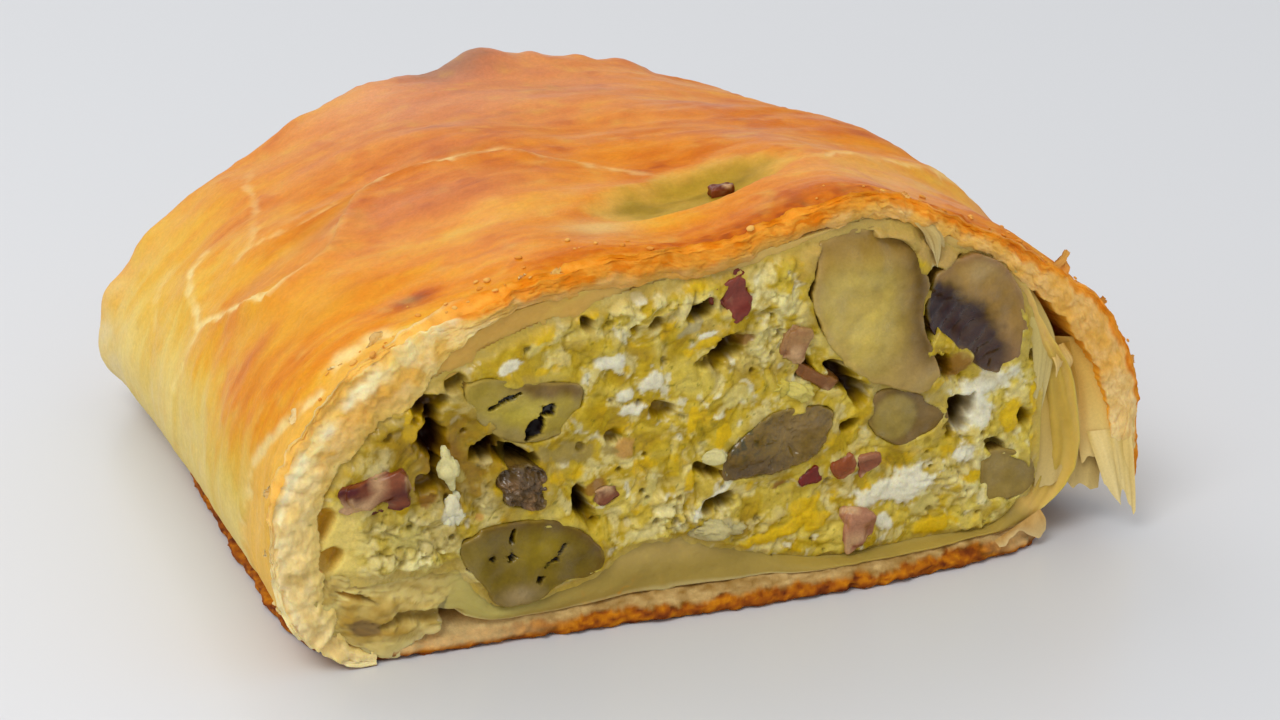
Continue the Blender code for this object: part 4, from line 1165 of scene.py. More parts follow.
def flesh_colour(name, x, z, rim):
    """Colour of a mushroom's cut face; rim is the distance in from its edge."""
    tint = blend((178, 156, 82), (192, 170, 100), 0.5 + 0.5 * rough(x, z, 3.0, 122))
    if name == "mushroom_large_slice":
        slanted = x + 0.12 * (z - 33)
        coats = (
            ((158, 132, 70), 0.65),
            ((212, 188, 102), 0.95 * in_bell(x, z, 14.0, 34.5, 5.0, 8.2)),
            ((160, 134, 82), 0.4 * rising(rough(x, z, 4.0, 139, 3), 0.1, 0.8)),
            ((156, 124, 68), 0.85 * rising(z, 37.5, 42.5)),
            ((184, 154, 104), 0.7 * in_bell(x, z, 22, 26, 4, 3)),
            # Painted shade: darker towards the right edge, and near black where the slice meets the cap.
            ((128, 100, 66), 0.85 * rising(slanted, 17.5, 23.0) * rising(z, 24, 29)),
            ((66, 48, 28), 0.80 * rising(slanted, 20.8, 23.6) * rising(z, 26, 30)),
            ((170, 140, 96), 0.35 * bell(rim - 0.3, 0.7)),
        )
    elif name == "mushroom_gilled_cap":
        coats = (
            ((150, 116, 70), 0.9),
            ((184, 156, 106), 0.8 * in_bell(x, z, 30.5, 37.2, 2.4, 1.6)),
            ((132, 100, 74), 0.7 * in_bell(x, z, 34.2, 25.6, 3.5, 3.0)),
            ((140, 106, 78), 0.7 * bell(rim, 0.7)),
        )
    elif name == "mushroom_left_half":
        top = rising(z + 0.18 * (x + 27) + 0.4 * rough(x, z, 1.6, 137, 3), 29.4, 31.2) * rising(x, -31, -26)
        coats = (
            ((156, 136, 62), 0.8),
            ((190, 172, 78), 0.85 * in_bell(x, z, -27, 28.4, 4, 1.9)),
            ((112, 86, 60), 0.85 * top),
            ((150, 132, 88), 0.6 * (1 - rising(z + 0.5 * (x + 27), 25.0, 27.0))),
            ((142, 122, 78), 0.3 * bell(rim, 0.7)),
        )
    elif name == "mushroom_low_slice":
        coats = (
            ((102, 84, 30), 0.90),
            ((154, 132, 42), 0.8 * in_bell(x, z, -25.5, 11.0, 4.0, 2.6)),
            ((138, 120, 70), 0.6 * (1 - rising(x, -33.5, -30.5))),
            ((158, 136, 98), 0.85 * in_bell(x, z, -28.2, 5.8, 3.0, 1.6)),
            ((104, 80, 40), 0.75 * bell(rim, 1.1) * rising(z + 0.5 * x, -7, 0)),
        )
    elif name == "mushroom_wet_slice":
        specks = rising(rough(x, z, 0.8, 125), 0.05, 0.40) * in_bell(x, z, -0.2, 20.8, 3.2, 2.6)
        coats = (
            ((106, 82, 44), 0.92),
            ((146, 120, 76), 0.8 * in_bell(x, z, 7.5, 20.8, 4, 1.6)),
            ((78, 60, 40), 0.6 * in_bell(x, z, 1.0, 16.5, 4, 1.5)),
            ((52, 62, 40), 0.8 * specks),
        )
    elif name == "mushroom_stem":
        from_core = np.hypot(x - 19.8, z - 20.2)
        disc = 1 - rising(from_core, 2.4, 3.4)
        coats = (
            ((124, 98, 66), 0.9 * (1 - disc)),
            ((150, 130, 74), 0.9 * disc),
            ((168, 146, 86), 0.5 * in_bell(x, z, 19.4, 21.2, 1.6, 1.2)),
            ((108, 86, 54), 0.5 * bell(from_core - 3.0, 0.4)),
        )
    elif name == "mushroom_right_end":
        coats = (((146, 124, 74), 0.9), ((120, 98, 64), 0.5 * bell(rim, 0.7)))
    else:
        coats = (((84, 66, 58), 0.95), ((142, 112, 86), rising(rough(x, z, 1.4, 126), 0.0, 0.7) * 0.6))
    tint = layers(tint, *coats)
    if name == "mushroom_gilled_cap":
        away, along, wave = gill_waves(x, z)
        gills = 1 - rising(away + 0.5 * rough(x, z, 1.5, 123) - 1.2 * (1 - along), 1.3, 3.4)
        dark = blend((30, 20, 16), (82, 60, 50), 0.30 * (0.5 + 0.5 * wave) + 0.4 * along)
        tint = paint(tint, dark, 0.95 * gills)
    # Painted shade: the slits made near black.
    tint = layers(tint, ((40, 28, 12), rising(slit_depth(x, z), 0.15, 0.6)))
    return mottled(mottled(tint, 0.09 * rough(x, z, 2.4, 138, 4)), 0.06 * rough(x, z, 0.9, 127, 3))


def in_bell(x, z, middle_x, middle_z, reach_x, reach_z):
    """1 at a place, falling away smoothly over its reach each way."""
    return np.exp(-(((x - middle_x) / reach_x) ** 2) - ((z - middle_z) / reach_z) ** 2)


def make_mushroom(name, material):
    """A cut piece of mushroom: a softly domed face with worn edges, swept back into the filling."""
    points, deep, proud = MUSHROOMS[name]
    loop = smooth_loop(points, MUSHROOM_COLUMNS)
    middle = loop.mean(axis=0)
    nibbled = 1 + 0.05 * rough(loop[:, 0], loop[:, 1], 2.6, 135, 4, 0.55)
    loop = middle + (loop - middle) * nibbled[:, None]
    sheet = Sheet()

    def scaled(share):
        return (middle[i] + (loop[:, i] - middle[i]) * share for i in (0, 1))

    for share in np.concatenate([[0.0], np.sin(np.linspace(0.04, 1, MUSHROOM_ROWS) * math.pi / 2)]):
        x, z = scaled(share)
        rim = (1 - share) * np.hypot(loop[:, 0] - middle[0], loop[:, 1] - middle[1])
        worn = 0.35 * (1 - np.sqrt(np.clip(1 - (1 - np.clip(rim / 0.4, 0, 1)) ** 2, 0, 1)))
        y = -proud + worn + 0.34 * rough(x, z, 4, 131, 3) + 0.05 * rough(x, z, 0.9, 132, 4) + slit_depth(x, z)
        dry = 0.45 + 0.5 * rough(x, z, 2.0, 136)
        if name == "mushroom_gilled_cap":
            away, _, wave = gill_waves(x, z)
            y = y + (1 - rising(away, 0.8, 3.2)) * (0.9 + 0.12 * wave)
            dry = dry - 0.2
        elif name == "mushroom_large_slice":
            y = y + 1.6 * rising(z, 39.5, 44)
        elif name == "mushroom_wet_slice":
            y = y + 0.45 * rough(x, z, 1.3, 133, 4)
            dry = dry - 0.5
        elif name == "mushroom_dark_bit":
            y = y + 0.9 * rough(x, z, 1.4, 134, 4)
            dry = dry - 0.2
        at_rim = (1 - rising(rim, 0.0, 0.6)) * rising(rough(x, z, 2.4, 140, 3), -0.4, 0.3)
        tint = layers(flesh_colour(name, x, z, rim), ((178, 154, 84), 0.3 * at_rim))
        sheet.add(x, y, z, tint, dry)
    face = sheet.last_depths()
    for depth in (0.5, 1.2, 2.4, 4.5, deep):
        x, z = scaled(1 - 0.12 * (depth / deep) ** 2)
        sheet.add(x, face + depth, z, plain((126, 102, 62), x), 0.3)
    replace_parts(sheet.make(name + "_flesh", material, "mushroom"), name)


# Bacon


# Tones of lean and fat.
RED, DARK_RED = (108, 46, 30), (84, 36, 22)
FAT = (204, 166, 120)
# Middle x and z, half sizes, lean in degrees, half depth, how far out, two meat tones and share of fat.
BACON = {
    "bacon_top": (-1.0, 37.9, 2.5, 2.4, 32, 2.5, 0.6, (112, 44, 36), (132, 66, 54), 0.05),
    "bacon_left": (-44.2, 21.4, 3.9, 2.1, 8, 2.6, 0.5, DARK_RED, (146, 84, 56), 0.42),
    "bacon_floor": (15.6, 6.2, 2.1, 2.4, 2, 2.5, 0.6, (138, 84, 62), (178, 126, 94), 0.2),
    "bacon_centre": (-16.9, 16.4, 2.0, 1.3, 14, 2.2, 0.2, (108, 52, 38), (160, 112, 72), 0.3),
    "bacon_round": (8.6, 14.2, 1.4, 1.0, 20, 1.5, 0.4, (116, 36, 22), RED, 0.0),
    "bacon_orange": (13.2, 14.9, 1.4, 1.3, 20, 1.6, 0.4, (132, 62, 30), (160, 96, 54), 0.05),
    "bacon_pink": (16.7, 14.9, 1.7, 1.1, 18, 1.8, 0.4, (132, 76, 52), (160, 108, 78), 0.15),
    "bacon_pale": (6.6, 31.2, 1.5, 2.0, -20, 2.0, 0.3, (166, 128, 80), (148, 102, 66), 0.4),
    "bacon_strip": (9.6, 26.6, 2.9, 0.9, -32, 1.6, 0.2, (128, 82, 44), (152, 108, 62), 0.1),
}
SLASH_BACON = ((96, 40, 24), (124, 66, 44))
BACON_COLUMNS, BACON_ROWS = 96, 48


def boxy(value):
    """Pushes a sine or cosine out towards the sides of a box with worn edges."""
    return np.sign(value) * np.abs(value) ** 0.42


def make_bacon(name, material, centre, halves, lean, tones, fat_share, seed):
    """A diced bit of bacon: a block with worn, uneven edges, streaked with lean and fat."""
    up, around = ball_angles(BACON_ROWS, BACON_COLUMNS)
    x, y = boxy(np.cos(around)) * boxy(np.cos(up)), boxy(np.sin(around)) * boxy(np.cos(up))
    z = boxy(np.sin(up)) + 0 * x
    lop = 1 + 0.22 * np.sin(seed * 1.7) * x
    u, v, w = x * halves[0], y * halves[1], z * halves[2] * lop
    small = min(1.0, max(halves) / 2)
    swell = 1 + 0.24 * rough(u + 3 * v, w, 2.6 * small, seed, 2)
    swell = swell + 0.13 * rough(u - 2 * v, w, 1.2 * small, seed + 3, 3)
    u, v, w = u * swell, v * swell, w * swell
    px, pz = leaned(centre[0], centre[2], u, w, lean)
    streak = rough(u * 0.5 + v, w * 1.3, 1.8, seed + 5, 4)
    fat = rising(rough(u, w + 0.5 * v, 2.2, seed + 9, 3), 0.6 - 1.1 * fat_share, 1.0 - 0.9 * fat_share)
    tint = layers(blend(*tones, 0.45 + 0.7 * streak), (FAT, 0.75 * fat * (fat_share > 0.02)))
    grid = np.stack([px, centre[1] + v, pz], axis=-1)
    quads = grid_quads(BACON_ROWS, BACON_COLUMNS, round_columns=True)
    piece = make_mesh(name + "_meat", grid.reshape(-1, 3), quads, tint.reshape(-1, 3), material, "bacon",
                      np.full(u.size, 0.35), ON_CUT)
    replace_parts(piece, name)


# The scrambled egg


# Distance between the egg's points.
EGG_STEP = 0.20
# Hollows, painted dark inside as shade: middle x and z, half sizes, lean in degrees and depth.
HOLLOWS = (
    (-37.4, 26.4, 2.1, 5.6, 10, 7.0), (-38.6, 21.3, 1.6, 1.3, 0, 4.0), (-34.8, 32.8, 1.1, 0.8, 30, 3.0),
    (-31.0, 24.3, 1.6, 1.4, 0, 7.0), (-28.4, 22.9, 3.2, 1.5, -34, 7.0), (-19.6, 14.8, 1.1, 2.8, 22, 6.0),
    (-16.0, 23.2, 1.3, 1.0, 20, 2.5), (-9.3, 25.5, 2.1, 1.1, -25, 3.0), (-5.3, 37.2, 2.2, 1.0, 24, 4.5),
    (-10.7, 36.1, 1.1, 0.8, 20, 3.0), (-19.0, 37.5, 1.2, 0.8, -25, 4.5), (-2.0, 31.9, 3.1, 1.2, 30, 4.5),
    (13.2, 25.6, 3.8, 1.5, -42, 6.0), (-2.6, 12.8, 2.6, 1.2, 15, 4.0), (28.5, 19.8, 1.7, 4.2, 4, 6.5),
    (37.9, 16.9, 1.0, 2.0, 12, 4.0), (-13.4, 36.2, 0.8, 0.7, 0, 2.0), (24.3, 36.6, 1.2, 1.8, 0, 5.0),
    (25.9, 25.8, 1.0, 2.2, 30, 5.0), (13.8, 20.0, 1.4, 1.0, 25, 4.0), (8.2, 28.4, 1.4, 1.3, 0, 5.0),
    (34.4, 13.9, 1.6, 1.0, -20, 3.5), (-4.3, 17.2, 1.8, 0.6, -28, 4.0), (38.4, 25.4, 0.8, 1.2, 20, 3.0),
    (-41.3, 21.0, 0.8, 0.8, 0, 2.0), (-33.9, 13.2, 0.9, 1.2, 30, 3.0), (-39.2, 12.6, 0.8, 0.5, 0, 1.6),
    (-33.2, 10.2, 1.0, 0.6, 10, 1.6), (-7.9, 14.4, 0.7, 0.5, 0, 1.8), (9.0, 37.6, 0.8, 1.8, 0, 4.0),
    (24.0, 31.6, 0.9, 4.2, 4, 7.0),
)
# Kinds of lump by colour.
WHITE, YELLOW, CREAM_EGG, GREY = (230, 226, 200), (216, 178, 34), (208, 194, 122), (178, 166, 124)
PALE_PINK, BROWNISH, BEIGE = (196, 150, 88), (142, 100, 58), (158, 138, 80)
# Lumps that show by their colour: middle x and z, half sizes, lean in degrees, kind and how far out.
LUMPS = (
    (-11.3, 29.2, 2.0, 1.3, -6, WHITE, 0.7), (-16.2, 32.6, 1.8, 1.0, -12, WHITE, 0.5),
    (-14.6, 28.2, 1.3, 0.8, 0, WHITE, 0.4), (-13.8, 26.2, 1.6, 0.7, 8, WHITE, 0.4),
    (-13.0, 39.6, 1.2, 0.6, -20, WHITE, 0.3), (-3.9, 34.3, 1.5, 0.4, 12, WHITE, 0.4),
    (-6.8, 35.2, 1.9, 0.8, 35, GREY, 0.4), (-21.8, 39.2, 1.6, 0.7, 5, CREAM_EGG, 0.4),
    (-25.3, 35.8, 1.8, 0.8, 30, CREAM_EGG, 0.3), (2.3, 32.6, 1.7, 1.5, 30, CREAM_EGG, 0.6),
    (-0.5, 26.1, 1.7, 1.3, 20, CREAM_EGG, 0.6), (-2.8, 18.9, 1.3, 0.8, 0, WHITE, 0.5),
    (-4.2, 13.2, 3.0, 0.7, 40, WHITE, 0.5), (-11.4, 16.6, 0.9, 2.4, -12, CREAM_EGG, 0.4),
    (-3.4, 9.6, 2.8, 1.2, -8, GREY, 0.9), (7.2, 25.4, 1.9, 1.0, -24, CREAM_EGG, 1.0),
    (-28.5, 33.9, 1.4, 0.8, 20, WHITE, 0.4), (-35.6, 17.4, 1.1, 1.8, -12, WHITE, 0.7),
    (-40.7, 15.3, 2.2, 1.6, 0, CREAM_EGG, 0.5), (-38.6, 11.0, 1.6, 0.9, 15, CREAM_EGG, 0.4),
    (-35.4, 22.4, 1.6, 0.8, -50, CREAM_EGG, 0.7), (32.2, 22.4, 4.8, 2.4, 12, WHITE, 0.7),
    (31.0, 19.6, 2.8, 2.8, 0, WHITE, 0.6), (21.4, 10.8, 5.2, 2.4, 8, WHITE, 0.7),
    (29.9, 13.6, 1.7, 1.9, 0, WHITE, 0.5), (18.9, 6.6, 1.2, 1.8, 20, WHITE, 0.4),
    (24.6, 8.0, 1.6, 1.8, 0, CREAM_EGG, 0.4), (-5.6, 40.3, 1.7, 0.7, 10, YELLOW, 0.3),
    (-19.4, 38.8, 1.5, 0.8, 0, YELLOW, 0.2), (-24.6, 36.9, 1.8, 1.0, 20, YELLOW, 0.2),
    (-4.4, 33.1, 2.2, 0.7, 22, YELLOW, 0.5), (-24.8, 32.6, 0.8, 0.5, 0, YELLOW, 0.2),
    (-6.4, 23.6, 0.7, 1.8, -12, YELLOW, 0.5), (-2.3, 21.4, 0.9, 1.5, -20, YELLOW, 0.5),
    (-6.5, 16.0, 0.8, 1.4, 0, YELLOW, 0.4), (8.8, 10.6, 3.0, 1.2, 12, YELLOW, 0.4),
    (4.6, 7.4, 5.2, 1.1, 13, YELLOW, 0.7), (10.2, 8.2, 2.6, 1.4, 10, YELLOW, 0.5),
    (-39.8, 28.4, 1.6, 1.8, 20, YELLOW, 0.5), (-30.9, 37.0, 1.9, 1.0, 0, YELLOW, 0.2),
    (-41.7, 19.0, 1.3, 0.7, -20, YELLOW, 0.3), (-42.6, 9.4, 2.4, 0.6, 0, YELLOW, 0.2),
    (35.6, 17.6, 1.8, 2.1, 0, YELLOW, 0.4), (39.4, 19.6, 1.0, 2.6, 0, YELLOW, 0.3),
    (39.4, 13.2, 0.8, 1.4, 0, YELLOW, 0.3), (30.9, 10.8, 1.3, 1.0, 0, YELLOW, 0.4),
    (25.8, 4.6, 2.4, 1.3, 0, YELLOW, 0.3), (22.9, 38.9, 0.6, 1.0, 0, YELLOW, 0.5),
    (11.2, 18.4, 1.2, 1.0, 30, YELLOW, 0.4), (28.4, 25.4, 1.5, 1.6, 0, BROWNISH, 0.5),
    (-14.5, 21.5, 1.2, 1.4, 10, PALE_PINK, 0.2), (-32.4, 16.2, 0.8, 0.6, 0, PALE_PINK, 0.3),
    (5.0, 13.8, 1.4, 0.6, 8, BROWNISH, 0.3), (-21.0, 22.3, 4.2, 1.3, -8, BEIGE, 0.2),
    (0.4, 32.6, 2.0, 0.7, 32, BROWNISH, -0.6), (-18.4, 17.4, 1.6, 0.7, 30, BROWNISH, 0.1),
    (-38.6, 19.6, 1.2, 0.8, 0, BROWNISH, -0.3),
)
# Where the egg is curdy rather than smooth: middle x and z, reach in x and z.
CURDY = (
    (-39.5, 13.5, 8, 6.5), (3, 36, 6, 6), (-33, 18.5, 3.5, 3.5), (31, 12, 5, 5), (-8, 12, 5, 4),
    (-12, 38, 8, 3),
)


def egg_hollows(x, z):
    """Depth of the hollows that are painted dark as shade."""
    ragged = 0.55 * rough(x, z, 2.2, 141, 3, 0.5)
    found = np.zeros(x.shape)
    for *ellipse, depth in HOLLOWS:
        found = np.maximum(found, 0.8 * depth * (1 - rising(in_ellipse(x, z, *ellipse) + ragged, 0.30, 1.15)))
    return found


def make_egg(material):
    """The egg at the cut: a moist, marbled face with soft curds, small holes and hollows, both with painted
    shade.
    """
    x, z = np.meshgrid(np.arange(-52.6, 41.2, EGG_STEP), np.arange(2.4, 46.0, EGG_STEP), indexing="ij")
    edge = signed_distance(x, z, np.stack(cavity_outline(0.0)[:2], axis=1)[::4])
    warp_x, warp_z = x + 1.5 * rough(x, z, 4.5, 142, 3), z + 1.5 * rough(x, z, 4.5, 143, 3)
    puffs = [np.abs(rough(warp_x, warp_z, size, 171 + i, 2)) for i, size in enumerate((3.8, 1.7, 0.8))]
    creases = [1 - rising(puffs[0], 0.0, 0.16), 1 - rising(puffs[1], 0.0, 0.18)]
    curdy = np.max([in_bell(x, z, *place) for place in CURDY], axis=0)
    large, middling, fine = (np.minimum(puff, 0.7) for puff in puffs)
    high = large * (0.55 + 0.8 * curdy) + 0.55 * middling * (0.7 + curdy)
    curd_x, curd_z = x + 1.6 * rough(x, z, 2.8, 186, 5, 0.6), z + 1.6 * rough(x, z, 2.8, 187, 5, 0.6)
    curd_near, curd_next, curd_name = cells(curd_x, curd_z, 2.7, 185)
    loose = np.clip(0.15 + curdy + 0.9 * rough(x, z, 5.0, 188, 3), 0, 1)
    curd = rising(curd_next - curd_near, 0.0, 1.1) * loose
    high = 0.9 * high + (0.20 + 0.35 * curdy) * curd * (0.3 + curd_name)
    high = high + 0.15 * fine + 0.35 * rough(x, z, 6, 155, 2) + 0.09 * rough(x, z, 0.9, 147, 4)
    tint = layers(
        egg_colour(x, z, warp_x, warp_z, creases, curdy),
        ((228, 214, 156), 0.60 * curd * rising(curd_name, 0.70, 0.80)),
        ((160, 130, 48), 0.35 * loose * (1 - rising(curd_name, 0.16, 0.24))),
        # painted shade along the low borders between the curds
        ((150, 122, 40), 0.25 * loose * (1 - rising(curd_next - curd_near, 0.0, 0.5))),
    )
    ragged, streaked = 0.55 * rough(x, z, 1.8, 148, 5, 0.6), 0.07 * rough(x, z, 1.2, 149)
    for *ellipse, kind, out in LUMPS:
        near = in_ellipse(x, z, *ellipse) + ragged
        share = 1 - rising(near, 0.75, 1.10)
        dome = np.sqrt(np.clip(1 - np.minimum(near, 1) ** 2, 0, 1))
        high = high * (1 - 0.4 * share) + share * (0.6 * out * dome + 0.1)
        tint = paint(tint, mottled(colour(*kind), streaked), share * (0.70 if kind is CREAM_EGG else 0.88))
    over = rising(edge + 0.5 * rough(x, z, 2.2, 179, 3), -3.4, -2.2) * rising(x, 5, 10) * rising(z, 30, 34)
    tint = paint(tint, mottled(colour(190, 158, 96), 0.08 * rough(x, z, 2.0, 180, 3)), over)
    at_wall = (1 - rising(x + 0.8 * rough(x, z, 2.5, 176), -47.6, -45.2)) * (1 - rising(z, 19.5, 22))
    tint = paint(tint, mottled(colour(228, 204, 118), 0.06 * rough(x, z, 1.8, 177)), at_wall)
    high = high * (1 - 0.6 * over) * (1 - 0.7 * at_wall)
    pit_near, _, pit_name = cells(x, z, 2.6, 150)
    size = 0.16 + 0.30 * np.modf(pit_name * 7)[0]
    holes = 1 - rising(pit_near + 0.30 * rough(x, z, 0.9, 151, 3), size * 0.6, size * 1.4)
    pits = (pit_name < 0.16) * holes
    hollow = egg_hollows(x, z) * (0.8 + 0.25 * rough(x, z, 2.2, 178, 2))
    pocket = dough_hollows(x, z)
    depth = 0.75 - high + hollow + 0.7 * pits + 1.8 * pocket
    tint = layers(
        tint,
        # painted shade in the small holes
        ((122, 96, 28), 0.45 * pits),
        # painted shade in the hollows between the dough's layers
        ((196, 146, 50), 0.85 * pocket),
        # darker brown round the big hollow at the left
        ((128, 94, 24), 0.35 * in_bell(x, z, -37.5, 24.5, 8, 8)),
        # Painted shade: brown, then near black deeper in the hollows.
        ((126, 94, 32), 0.65 * rising(hollow, 0.3, 1.6)),
        ((52, 36, 16), 0.92 * rising(hollow, 1.4, 3.4)),
    )
    # Round each mushroom the egg comes up to its face in places, and leaves a smear.
    covered = rising(rough(x, z, 3.6, 189, 2), 0.05, 0.6)
    smeary = rising(rough(x, z, 2.0, 182, 3), -0.2, 0.5)
    uneven = 0.10 * rough(x, z, 1.2, 181, 3)
    for points, _, proud in MUSHROOMS.values():
        loop = smooth_loop(points, MUSHROOM_SIDES)
        (low_x, low_z), (high_x, high_z) = loop.min(axis=0) - 3, loop.max(axis=0) + 3
        box = (x > low_x) & (x < high_x) & (z > low_z) & (z < high_z)
        away = np.full(x.shape, 9.0)
        away[box] = signed_distance(x[box], z[box], loop)
        outside = np.maximum(away, 0)
        near = bell(outside, 1.2) * (1 - rising(hollow, 0.2, 1.0))
        level = 0.22 - proud - 0.42 * covered + uneven
        depth = depth * (1 - 0.9 * near) + level * 0.9 * near
        depth = depth + 3.0 * rising(-away - 0.8 * covered, 0.0, 0.6)
        tint = layers(tint, ((170, 148, 84), 0.6 * (bell(outside, 0.9) * smeary)))
    ragged = 0.25 * rough(x, z, 1.5, 184, 3)
    for form in BACON.values():
        near = in_ellipse(x, z, *form[:5]) + ragged
        close = bell(np.maximum(near - 0.9, 0), 0.45) * (1 - rising(hollow, 0.4, 1.2))
        depth = depth * (1 - 0.8 * close) + (0.25 - form[6]) * 0.8 * close
        depth = depth + 2.0 * (1 - rising(near, 0.3, 0.9))
    at_edge = rising(edge + 0.5 * rough(x, z, 1.5, 183, 3), -1.1, 0.1)
    depth = depth * (1 - 0.7 * at_edge) + 0.7 * at_edge * 1.15
    tint = layers(tint, ((196, 168, 92), 0.7 * at_edge))
    points = np.stack([x, depth, z], axis=-1).reshape(-1, 3)
    quads = grid_quads(*x.shape)
    keep = (edge < 1.0).ravel()
    quads = quads[keep[quads].all(axis=1)]
    used = np.zeros(len(points), bool)
    used[quads.ravel()] = True
    number = np.cumsum(used) - 1
    dry = (0.42 + 0.55 * rough(x, z, 2.2, 152)).ravel()[used]
    tint = tint.reshape(-1, 3)[used]
    return make_mesh("egg_face", points[used], number[quads], tint, material, "egg", dry, ON_CUT)


def egg_colour(x, z, warp_x, warp_z, creases, curdy):
    """Colour of the egg: yellow-green marbled with yolk and cream, paler where it is curdy."""
    shade = 0.5 + 0.55 * rough(warp_x, warp_z, 2.4, 161, 4)
    # Darker brown round the big hollow at the left.
    brown_round_hollow = in_bell(x, z, -36.5, 24.5, 9, 8) * (0.8 + 0.5 * rough(x, z, 2.5, 168, 3))
    tint = layers(
        ramp(shade, ((0, (176, 144, 44)), (0.5, (196, 168, 62)), (1, (214, 192, 94)))),
        ((218, 202, 136), 0.85 * rising(rough(warp_x, warp_z, 2.2, 162, 5, 0.6), 0.20, 0.60)),
        ((222, 216, 184), 0.80 * rising(rough(x, warp_z, 1.6, 166, 3), 0.62, 0.95)),
        ((214, 174, 32), 0.80 * rising(rough(warp_x, z, 2.4, 163, 4), 0.48, 0.85)),
        ((218, 202, 116), 0.50 * rising(-x, 33, 40) * (1 - rising(z, 17, 22))),
        ((218, 202, 106), 0.35 * rising(x, 26, 34)),
        ((234, 224, 164), 0.85 * curdy * rising(rough(x, z, 1.5, 165, 4), -0.3, 0.3)),
        ((128, 94, 22), 0.85 * brown_round_hollow),
        # painted shade in the creases between the puffs
        ((140, 112, 30), 0.40 * creases[0] + 0.30 * creases[1]),
    )
    tint = mottled(tint, 0.09 * rough(x, z, 0.55, 167, 2))
    mould = in_bell(x, z, -2.6, 21.6, 2.6, 1.8) * rising(rough(x, z, 1.0, 169, 4), -0.1, 0.4)
    herbs = rising(rough(x, z, 0.55, 164), 0.80, 0.95)
    return layers(tint, ((70, 74, 34), 0.75 * mould), ((98, 100, 36), 0.6 * herbs))


# Loose curds that stand out of the face: middle x, y and z, half sizes, lean in degrees and colour.
CURDS = (
    (7.4, 0.1, 25.4, 2.0, 0.9, 1.1, -24, (208, 192, 108)),
    (4.6, 0.4, 26.2, 1.2, 0.8, 0.9, 10, (200, 180, 88)), (-3.4, 0.1, 9.7, 2.9, 1.0, 1.2, -8, (190, 178, 128)),
    (-2.8, 0.4, 18.7, 1.5, 0.8, 0.9, 0, (212, 202, 146)),
    (-35.7, 0.3, 17.4, 1.1, 0.8, 1.9, -12, (224, 216, 180)),
    (-36.0, 0.1, 22.8, 0.9, 0.7, 2.1, 10, (216, 206, 150)),
    (25.6, 0.2, 27.8, 1.4, 0.5, 0.45, -52, (210, 180, 66)),
    (21.6, 0.0, 24.7, 1.4, 0.5, 0.6, -18, (190, 166, 56)),
)
CURD_COLUMNS, CURD_ROWS = 56, 30


def make_curds(material):
    """Loose curds of egg that stand out of the face."""
    parts = []
    up, around = ball_angles(CURD_ROWS, CURD_COLUMNS)
    for number, (x, y, z, half_x, half_y, half_z, lean, tone) in enumerate(CURDS):
        u = half_x * np.cos(up) * np.cos(around)
        v = half_y * np.cos(up) * np.sin(around)
        w = half_z * np.sin(up) + 0 * u
        swell = 1 + 0.60 * rough(u + 2 * v, w, 1.3, 400 + number, 4)
        u, v, w = u * swell, v * swell, w * swell
        px, pz = leaned(x, z, u, w, lean)
        points = np.stack([px, y + v, pz], axis=-1)
        tint = mottled(colour(*tone), 0.08 * rough(u + v, w, 1.0, 420 + number))
        quads = grid_quads(CURD_ROWS, CURD_COLUMNS, round_columns=True)
        parts.append((points.reshape(-1, 3), quads, tint.reshape(-1, 3), 0.45))
    points, quads, tint, dry = join_parts(parts)
    return make_mesh("egg_curds", points, quads, tint, material, "egg", dry, ON_CUT)


# Torn sheets of dough on the right and the flakes along the broken edge


